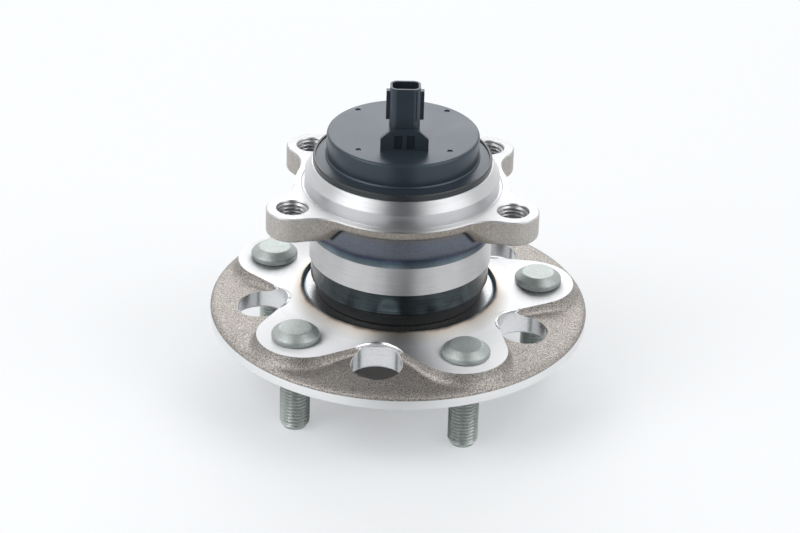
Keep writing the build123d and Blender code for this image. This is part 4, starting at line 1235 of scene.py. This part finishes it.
@dataclass
class OuterRing:
    """Outer ring: turned bands, knuckle flange with tapped holes, pilot and bore."""

    outline: KnuckleOutline = field(default_factory=KnuckleOutline)
    face_z: float = 58.9
    web: float = 3.9
    boss: float = 10.6
    ramp_at: float = 29.0
    ramp_r: float = 14.0
    ramp_draft: float = 0.78
    ramp_round: float = 1.8
    edge_break: float = 0.45
    edge_round: float = 1.6
    slack: float = 0.002
    neck_r: float = 38.6
    neck_round: float = 2.0
    mouth_r: float = 6.45
    mouth_depth: float = 0.4
    groove_r: float = 39.9
    band_r: float = 36.3
    dark_r: float = 35.5
    end_z: float = 18.1
    seat_r: float = 32.0
    nose_z: float = 68.6
    pilot_r: float = 38.5
    steps: int = 720

    def under(self, x: float, y: float) -> float:
        """Height of the flange's forged underside: a thin web and a drafted ramp to each boss.

        Args:
            x: First coordinate in millimetres.
            y: Second coordinate in millimetres.

        Returns:
            The height in millimetres.
        """
        web_z = self.face_z - self.web
        boss_z = self.face_z - self.boss
        run = self.outline.bolt_at - self.ramp_at
        best = web_z
        for a in self.outline.angles:
            turn = math.radians(-a)
            u = x * math.cos(turn) - y * math.sin(turn) - self.ramp_at
            v = x * math.sin(turn) + y * math.cos(turn)
            t = min(max(u / run, 0.0), 1.0)
            away = math.hypot(u - run * t, v) - (self.ramp_r + (self.outline.boss_r - self.ramp_r) * t)
            slope = boss_z + max(away, 0.0) / self.ramp_draft
            best = min(best, -smooth_max(-web_z, -slope, self.ramp_round))
        return best

    def wall(self, grow: float, height: Height | float) -> list[Point]:
        """Points of the grown outline at a height.

        Args:
            grow: How far the outline is grown.
            height: Height of all points, or a function that gives it.

        Returns:
            The points, anticlockwise.
        """
        row = []
        for k in range(self.steps):
            angle = TURN * k / self.steps
            x, y = polar(self.outline.radius(angle, grow), angle)
            row.append((x, y, height(x, y) if callable(height) else height))
        return row

    def edge_wall(self, skin: Skin, top: Loop) -> Loop:
        """Side of the flange: sharp machined edge above, rounded forged edge below.

        Args:
            skin: Surface to add to.
            top: Outer loop of the machined face.

        Returns:
            The outer loop of the underside.
        """
        side = skin.bands(top, [self.wall(0.0, self.face_z - self.edge_break)], Finish.MACHINED_STEEL)
        rows = []
        steps = 5
        for k in range(steps + 1):
            a = math.pi / 2.0 * k / steps
            inset = -self.edge_round * (1.0 - math.cos(a))
            lift = self.edge_round * (1.0 - math.sin(a))
            rows.append(self.wall(inset, lambda x, y, lift=lift: self.under(x, y) + lift))
        # The flange's forged sides get the paler skin: painted light, with the heat browning.
        return skin.bands(side, rows, Finish.FORGED_FLANGE_TINT_AND_PAINTED_LIGHT)

    def fill_points(self) -> list[Flat]:
        """Even grid under the flange, clear of its edges and holes.

        Returns:
            The points in the XY plane.
        """
        spacing, ring_step, root_margin, hole_margin, margin = 0.9, 0.8, 0.7, 0.4, 0.35
        tip = self.outline.bolt_at + self.outline.boss_r
        spots = grid(self.neck_r + self.neck_round + root_margin, tip, spacing, ring_step)
        inset = -self.edge_round
        reach = [self.outline.radius(math.atan2(y, x), inset) - margin for x, y in spots]
        spots = [p for p, far in zip(spots, reach) if math.hypot(*p) < far]
        centres = self.outline.centres()
        return [p for p in spots if all(math.dist(p, c) > self.mouth_r + hole_margin for c in centres)]

    def holes(self, skin: Skin) -> tuple[list[Loop], list[Loop]]:
        """Tapped holes with countersunk mouths.

        Args:
            skin: Surface to add to.

        Returns:
            Their loops in the face and in the underside.
        """
        tops, lows = [], []
        steps, root, crest, pitch = 56, 6.05, 5.2, 1.5
        boss_z = self.face_z - self.boss
        first, last = boss_z + self.mouth_depth, self.face_z - self.mouth_depth
        for centre in self.outline.centres():
            top = skin.loop(circle(self.mouth_r, self.face_z, steps, centre))
            rows = thread_rows(root, crest, pitch, first, last, centre, steps)
            cut = skin.bands(top, reversed(rows), Finish.CUT_THREAD)
            low = circle(self.mouth_r, boss_z, steps, centre)
            lows.append(skin.bands(cut, [low], Finish.MACHINED_STEEL))
            tops.append(top)
        return tops, lows

    def between(self, x: float, y: float, inner: float, grow: float) -> bool:
        """Tells whether a point lies in the grown flange, outside its holes and outside an inner radius."""
        clear = all(math.dist((x, y), c) > self.mouth_r for c in self.outline.centres())
        return clear and inner < math.hypot(x, y) < self.outline.radius(math.atan2(y, x), grow)

    def build(self, finishes: Finishes) -> None:
        """Makes the outer ring.

        Args:
            finishes: Materials by finish.
        """
        skin = Skin("outer_ring_forging")
        hole_tops, hole_lows = self.holes(skin)
        top = skin.loop(self.wall(-self.edge_break, self.face_z))
        groove = skin.loop(circle(self.groove_r, self.face_z))
        skin.sheet(
            [top, groove, *hole_tops],
            [],
            lambda x, y: self.face_z,
            lambda x, y: self.between(x, y, self.groove_r, -self.edge_break - self.slack),
            lambda x, y: Finish.FLANGE_FACE,
        )
        low = self.edge_wall(skin, top)
        neck = self.neck_r + self.neck_round
        root = skin.loop((x, y, self.under(x, y)) for x, y, _ in circle(neck, 0.0))
        skin.sheet(
            [low, root, *hole_lows],
            self.fill_points(),
            self.under,
            lambda x, y: self.between(x, y, neck, -self.edge_round - self.slack),
            # The underside gets the same paler skin, painted light, with its heat browning.
            lambda x, y: Finish.FORGED_FLANGE_TINT_AND_PAINTED_LIGHT,
        )
        end = self.outside(skin, root)
        self.inside(skin, end, groove)
        skin.build(finishes, "knuckle_side", "outer_ring")

    def outside(self, skin: Skin, root: Loop) -> Loop:
        """Turned outside, from the flange's root down to the outboard end.

        Args:
            skin: Surface to add to.
            root: Inner loop of the flange's underside.

        Returns:
            The loop at the bore's edge.
        """
        rows = []
        steps = 6
        for k in range(1, steps + 1):
            a = math.pi / 2.0 * k / steps
            radius = self.neck_r + self.neck_round * (1.0 - math.sin(a))
            drop = self.neck_round * (1.0 - math.cos(a))
            spots = [skin.points[number] for number in root]
            rows.append([(*polar(radius, math.atan2(y, x)), z - drop) for x, y, z in spots])
        cone = [(self.neck_r, 45.0), (38.45, 44.4), (37.4, 42.1), (36.38, 39.8)]
        ground = [(self.band_r, 39.4), (self.band_r, 27.9)]
        step = [(36.15, 27.75), (35.6, 27.7), (self.dark_r, 27.55)]
        dark = [
            Corner(self.dark_r, 27.55),
            Corner(self.dark_r, self.end_z + 0.8, 0.3),
            Corner(self.dark_r - 0.8, self.end_z, 0.2),
            Corner(31.81, self.end_z),
        ]
        last = skin.turned(skin.bands(root, rows, Finish.HEAT_TINT), cone, Finish.HEAT_TINT)
        last = skin.turned(last, ground, Finish.GROUND_BAND)
        last = skin.turned(last, step, Finish.MACHINED_STEEL)
        return skin.turned(last, rounded(dark), Finish.DARK_BAND)

    def inside(self, skin: Skin, start: Loop, groove: Loop) -> None:
        """Bore with both races, the cap's seat, and over the pilot back to the flange's face.

        Args:
            skin: Surface to add to.
            start: Loop at the bore's edge.
            groove: Inner loop of the flange's face.
        """
        races = raceway((25.859, 28.801), -28.1, 72.4) + raceway((25.859, 50.999), -72.4, 28.1)
        low_bore = [(31.81, 23.1), (30.96, 23.1)]
        seat_bore = [(30.96, 60.0), (self.seat_r, 60.0), (self.seat_r, 66.4)]
        nose = [
            Corner(self.seat_r, 66.4),
            Corner(34.2, self.nose_z, 0.15),
            Corner(35.7, self.nose_z, 0.5),
            Corner(36.8, 66.6, 1.2),
            Corner(self.pilot_r, 64.1, 0.8),
            Corner(self.pilot_r, self.face_z - 0.5, 0.3),
            Corner(39.6, self.face_z - 0.5, 0.3),
            Corner(self.groove_r - 0.05, self.face_z - 0.05),
        ]
        seat = skin.turned(start, [*low_bore, *races, *seat_bore], Finish.BEARING_STEEL)
        skin.band(skin.turned(seat, rounded(nose), Finish.TURNED_PILOT), groove, Finish.MACHINED_STEEL)


@dataclass
class WheelStuds:
    """Five cold-headed wheel studs with rolled threads."""

    centres: list[Flat]
    pad: float = 10.7
    reach: float = 28.9
    pitch: float = 1.5
    tip_r: float = 4.7
    core_r: float = 5.1
    thread_r: float = 6.0
    shank_r: float = 7.15
    head_r: float = 9.45
    head_z: float = 4.79

    def build(self, finishes: Finishes) -> None:
        """Makes all studs as one piece.

        Args:
            finishes: Materials by finish.
        """
        skin = Skin("stud_set")
        for centre in self.centres:
            self.add_stud(skin, centre)
        skin.build(finishes, "hub", "wheel_studs")

    def add_stud(self, skin: Skin, centre: Flat) -> None:
        """Adds one stud, from the threaded tip to the domed head.

        Args:
            skin: Surface to add to.
            centre: Place of its axis.
        """
        steps, tip_bevel, run_out = 56, 0.7, 0.2
        shank = [(5.6, 0.5), (7.0, 0.6), (self.shank_r, 0.9), (self.shank_r, self.pad)]
        head = [
            Corner(self.shank_r, self.pad),
            Corner(self.head_r - 0.35, self.pad + 0.02, 0.35),
            Corner(self.head_r, self.pad + 0.7, 0.5),
            Corner(self.head_r, self.pad + 2.4, 1.5),
            Corner(6.3, self.pad + self.head_z - 0.07, 1.5),
            Corner(0.6, self.pad + self.head_z),
        ]
        tip = skin.loop(circle(self.tip_r, -self.reach, steps, centre))
        skin.close(tip, Finish.ZINC_THREAD)
        low = -self.reach + tip_bevel
        rows = thread_rows(self.core_r, self.thread_r, self.pitch, low, -run_out, centre, steps)
        last = skin.bands(tip, rows, Finish.ZINC_THREAD)
        rings = [circle(r, z, steps, centre) for r, z in (*shank, *rounded(head))]
        skin.close(skin.bands(last, rings, Finish.ZINC_FLAKE), Finish.ZINC_FLAKE)


def modifier_graph(name: str) -> tuple[Graph, bpy.types.Node]:
    """Starts a geometry modifier with a weld of the CAD mesh's split corners.

    Args:
        name: Name of the modifier's node group.

    Returns:
        The graph, and the node that gives the welded mesh.
    """
    group = bpy.data.node_groups.new(name, "GeometryNodeTree")
    for way in ("INPUT", "OUTPUT"):
        group.interface.new_socket("Geometry", in_out=way, socket_type="NodeSocketGeometry")
    graph = Graph(group)
    start = graph.add("NodeGroupInput")
    return graph, graph.add("GeometryNodeMergeByDistance", Geometry=start, Distance=WELD_REACH)


def smoothing_group() -> bpy.types.NodeTree:
    """Modifier that shades all but sharp edges smooth.

    Returns:
        The modifier's node group.
    """
    graph, welded = modifier_graph("smooth_by_angle")
    faces = graph.add("GeometryNodeSetShadeSmooth", Geometry=welded)
    angle = graph.add("GeometryNodeInputMeshEdgeAngle").outputs["Unsigned Angle"]
    sharp = graph.add("FunctionNodeCompare", {"operation": "GREATER_THAN"}, i0=angle, i1=SHARP_ANGLE)
    edges = {"Geometry": faces, "Selection": sharp, "Shade_Smooth": False}
    graph.add("NodeGroupOutput", i0=graph.add("GeometryNodeSetShadeSmooth", {"domain": "EDGE"}, **edges))
    return graph.tree


@dataclass(frozen=True)
class ShoulderCut:
    """Cut that thins the connector's foot to a front web and the column below the tower."""

    column_x: float = 5.95
    outside_x: float = 9.6
    web_y: float = -15.4
    tower_y: float = -4.3
    low: float = 81.1
    high: float = 90.0

    def build(self) -> bpy.types.NodeTree:
        """Makes the modifier's node group.

        Returns:
            The node group.
        """
        graph, welded = modifier_graph("shoulder_cut")
        solver = {"operation": "DIFFERENCE", "solver": "EXACT"}
        carve = graph.add("GeometryNodeMeshBoolean", solver, Mesh_1=welded)
        size = (self.outside_x - self.column_x, self.tower_y - self.web_y, self.high - self.low)
        for side in (-1.0, 1.0):
            block = graph.add("GeometryNodeMeshCube", Size=[d * MM for d in size])
            x = side * (self.outside_x + self.column_x) / 2.0
            middle = (x, (self.web_y + self.tower_y) / 2.0, (self.low + self.high) / 2.0)
            placed = graph.add("GeometryNodeTransform", Geometry=block, Translation=[c * MM for c in middle])
            graph.feed(carve.inputs["Mesh 2"], placed)
        graph.add("NodeGroupOutput", i0=carve)
        return graph.tree


@dataclass
class CadPieces:
    """CAD nodes that are shown as they are, with a finish and smooth shading."""

    finish_of: dict[str, Finish]
    cut_node: str = "sensor_cap"

    def dress(self, finishes: Finishes) -> None:
        """Cuts the connector's shoulders, paints each node and gives it the smoothing modifier.

        Args:
            finishes: Materials by finish.
        """
        group = smoothing_group()
        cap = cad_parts[self.cut_node]
        cap.modifiers.new("shoulder_cut", "NODES").node_group = ShoulderCut().build()
        for node, finish in self.finish_of.items():
            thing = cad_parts[node]
            thing.data.materials.clear()
            thing.data.materials.append(finishes[finish])
            thing.modifiers.new("smooth_by_angle", "NODES").node_group = group
            log.info("%s: %s", node, finish.value)


@dataclass(frozen=True)
class PhotoCamera:
    """Camera fitted to the photograph: place and turn in the part's frame, lens in pixels."""

    azimuth: float = 1.8
    elevation: float = 28.62
    roll: float = 1.73
    distance: float = 1156.4
    shift_right: float = 0.24
    shift_up: float = 14.87
    target_z: float = 4.2
    focal_px: float = 2862.4
    width_px: float = 800.0
    sensor_mm: float = 36.0

    def build(self) -> None:
        """Makes the camera and sets it as the scene's."""
        turn = Matrix.Rotation(math.radians(-self.azimuth), 3, "Z")
        tilt = math.radians(self.elevation)
        forward = turn @ Vector((0.0, math.cos(tilt), -math.sin(tilt)))
        right = turn @ Vector((1.0, 0.0, 0.0))
        up = turn @ Vector((0.0, math.sin(tilt), math.cos(tilt)))
        spot = right * self.shift_right + up * self.shift_up - forward * self.distance
        roll = math.radians(self.roll)
        side = right * math.cos(roll) + up * math.sin(roll)
        head = up * math.cos(roll) - right * math.sin(roll)
        data = bpy.data.cameras.new("photo_camera")
        data.sensor_width = self.sensor_mm
        data.lens = self.focal_px * self.sensor_mm / self.width_px
        data.clip_start, data.clip_end = 0.01, 50.0
        camera = bpy.data.objects.new("photo_camera", data)
        axes = Matrix((side, head, -forward)).transposed().to_4x4()
        axes.translation = (spot + Vector((0.0, 0.0, self.target_z))) * MM
        camera.matrix_world = axes
        bpy.context.scene.collection.objects.link(camera)
        bpy.context.scene.camera = camera


@dataclass(frozen=True)
class Softbox:
    """Rectangular studio lamp that points at a spot on the object."""

    name: str
    place: Point
    size: Flat
    level: float
    target: Point = (0.0, 0.0, 0.03)

    def build(self) -> None:
        """Makes the lamp. Its level is the brightness of its face, where 1 is white."""
        data = bpy.data.lights.new(self.name, "AREA")
        data.shape = "RECTANGLE"
        data.size, data.size_y = self.size
        data.energy = self.level * math.pi * self.size[0] * self.size[1]
        lamp = bpy.data.objects.new(self.name, data)
        lamp.location = self.place
        lamp.rotation_mode = "QUATERNION"
        lamp.rotation_quaternion = (Vector(self.target) - Vector(self.place)).to_track_quat("-Z", "Y")
        lamp.visible_camera = False
        bpy.context.scene.collection.objects.link(lamp)


def studio_panel(name: str, corners: Sequence[Point], material: bpy.types.Material) -> bpy.types.Object:
    """Makes a flat piece of the studio.

    Args:
        name: Name of the object.
        corners: Its four corners in metres.
        material: Its material.

    Returns:
        The new object.
    """
    mesh = bpy.data.meshes.new(name)
    mesh.from_pydata(corners, [], [(0, 1, 2, 3)])
    mesh.materials.append(material)
    panel = bpy.data.objects.new(name, mesh)
    bpy.context.scene.collection.objects.link(panel)
    return panel


@dataclass(frozen=True)
class Flag:
    """Dark studio card that only shows as a streak in bright metal.

    Each of its two edges is given by half its width, its Y and its Z.
    """

    name: str
    shade: str
    first: Point
    second: Point

    def build(self) -> None:
        """Makes the card, hidden from the camera, from diffuse light and from shadows."""
        material, graph = new_material(self.name)
        glow = graph.add("ShaderNodeEmission", Color=linear(self.shade), Strength=1.0)
        graph.add("ShaderNodeOutputMaterial", Surface=glow)
        (wide, y, z), (end_wide, end_y, end_z) = self.first, self.second
        corners = ((-wide, y, z), (wide, y, z), (end_wide, end_y, end_z), (-end_wide, end_y, end_z))
        card = studio_panel(self.name, corners, material)
        card.visible_camera = False
        card.visible_diffuse = False
        card.visible_shadow = False


@dataclass
class Studio:
    """White surroundings, a softbox behind and at each side, and dark cards for the gaps between them."""

    floor_z: float = -0.0289
    floor_reach: float = 6.0
    flag_lift: float = 0.0006
    world_level: float = 0.42
    floor_lift: float = 0.33
    front_y: float = -1.25
    gap_x: float = 0.36
    card_x: float = 0.38
    card_y: float = -0.35
    card_z: float = 1.5

    def build(self) -> None:
        """Makes the world, the floor, the lamps and the flags."""
        self.world()
        self.floor()
        Softbox("rear_softbox", (0.0, 1.35, 0.85), (1.7, 0.9), 2.0).build()
        Softbox("left_softbox", (-0.8, -0.4, 0.8), (0.8, 0.9), 2.2).build()
        Softbox("right_softbox", (0.8, -0.35, 0.85), (0.8, 0.9), 1.7).build()
        low = self.floor_z + self.flag_lift
        upper = (self.card_x, self.card_y, self.card_z)
        Flag("floor_flag", "#26282b", (self.gap_x, self.front_y, low), (0.05, -0.17, low)).build()
        Flag("front_gap", "#505357", (self.gap_x, self.front_y, 0.0), upper).build()
        Flag("top_gap", "#141517", upper, (0.26, 0.8, self.card_z)).build()
        log.info("studio ready")

    def world(self) -> None:
        """White to the camera and to reflections, softer as a light."""
        world = bpy.data.worlds.new("white_studio")
        world.use_nodes = True
        graph = Graph(world.node_tree)
        path = graph.add("ShaderNodeLightPath").outputs
        either = {"operation": "MAXIMUM"}
        seen = graph.add("ShaderNodeMath", either, i0=path["Is Camera Ray"], i1=path["Is Glossy Ray"])
        seen = graph.add("ShaderNodeMath", either, i0=seen, i1=path["Is Transmission Ray"])
        level = graph.add("ShaderNodeMapRange", Value=seen, To_Min=self.world_level, To_Max=1.0)
        shade = graph.add("ShaderNodeBackground", Color=linear("#ffffff"), Strength=level)
        graph.add("ShaderNodeOutputWorld", Surface=shade)
        bpy.context.scene.world = world

    def floor(self) -> None:
        """Pale floor that reads as white and keeps the shadow."""
        material, graph = new_material("white_floor")
        path = graph.add("ShaderNodeLightPath").outputs
        either = {"operation": "MAXIMUM"}
        seen = graph.add("ShaderNodeMath", either, i0=path["Is Camera Ray"], i1=path["Is Glossy Ray"])
        pale = {"i6": linear("#eef0f2"), "i7": linear("#d9dbdd")}
        colour = graph.add("ShaderNodeMix", {"data_type": "RGBA"}, i0=seen, **pale).outputs[2]
        plain = graph.add("ShaderNodeBsdfDiffuse", Color=colour)
        lift = graph.add("ShaderNodeMath", {"operation": "MULTIPLY"}, i0=seen, i1=self.floor_lift)
        glow = graph.add("ShaderNodeEmission", Color=linear("#fbfdff"), Strength=lift)
        graph.add("ShaderNodeOutputMaterial", Surface=graph.add("ShaderNodeAddShader", i0=plain, i1=glow))
        far = self.floor_reach
        corners = ((-far, -far, 0.0), (far, -far, 0.0), (far, far, 0.0), (-far, far, 0.0))
        studio_panel("floor", corners, material).location.z = self.floor_z


def main() -> None:
    """Builds the pieces in order and dresses the rest of the part."""
    logging.basicConfig(level=logging.INFO, format="%(message)s")
    bpy.context.scene.view_settings.view_transform = "Standard"
    kinds = [*hub_finishes(), *ring_finishes(), *small_part_finishes()]
    finishes = {kind.finish: kind.build() for kind in kinds}
    hub = Hub()
    hub.build(finishes)
    WheelStuds(hub.stud_centres()).build(finishes)
    OuterRing().build(finishes)
    CadPieces(
        {
            "inner_ring": Finish.BEARING_STEEL,
            "spindle_nut": Finish.PHOSPHATED_NUT,
            "outboard_seal_slinger": Finish.STAINLESS_SHEET,
            "encoder_carrier": Finish.PRESSED_SHEET,
            "magnetic_encoder": Finish.ENCODER_RUBBER,
            "outboard_seal_core": Finish.PRESSED_SHEET,
            "outboard_seal_lips": Finish.SEAL_RUBBER,
            "cap_sleeve": Finish.BLACK_SHEET,
            "cap_seal_ring": Finish.SEAL_RUBBER,
            "sensor_cap": Finish.CAP_PLASTIC,
            "sensor_carrier": Finish.CARRIER_PLASTIC,
            "sensor_element": Finish.CHIP_RESIN,
            "connector_terminals": Finish.TINNED_BLADE,
            "outboard_balls": Finish.BEARING_STEEL,
            "outboard_cage": Finish.CAGE_POLYMER,
            "inboard_balls": Finish.BEARING_STEEL,
            "inboard_cage": Finish.CAGE_POLYMER,
        }
    ).dress(finishes)
    Studio().build()
    PhotoCamera().build()


if __name__ == "__main__":
    main()
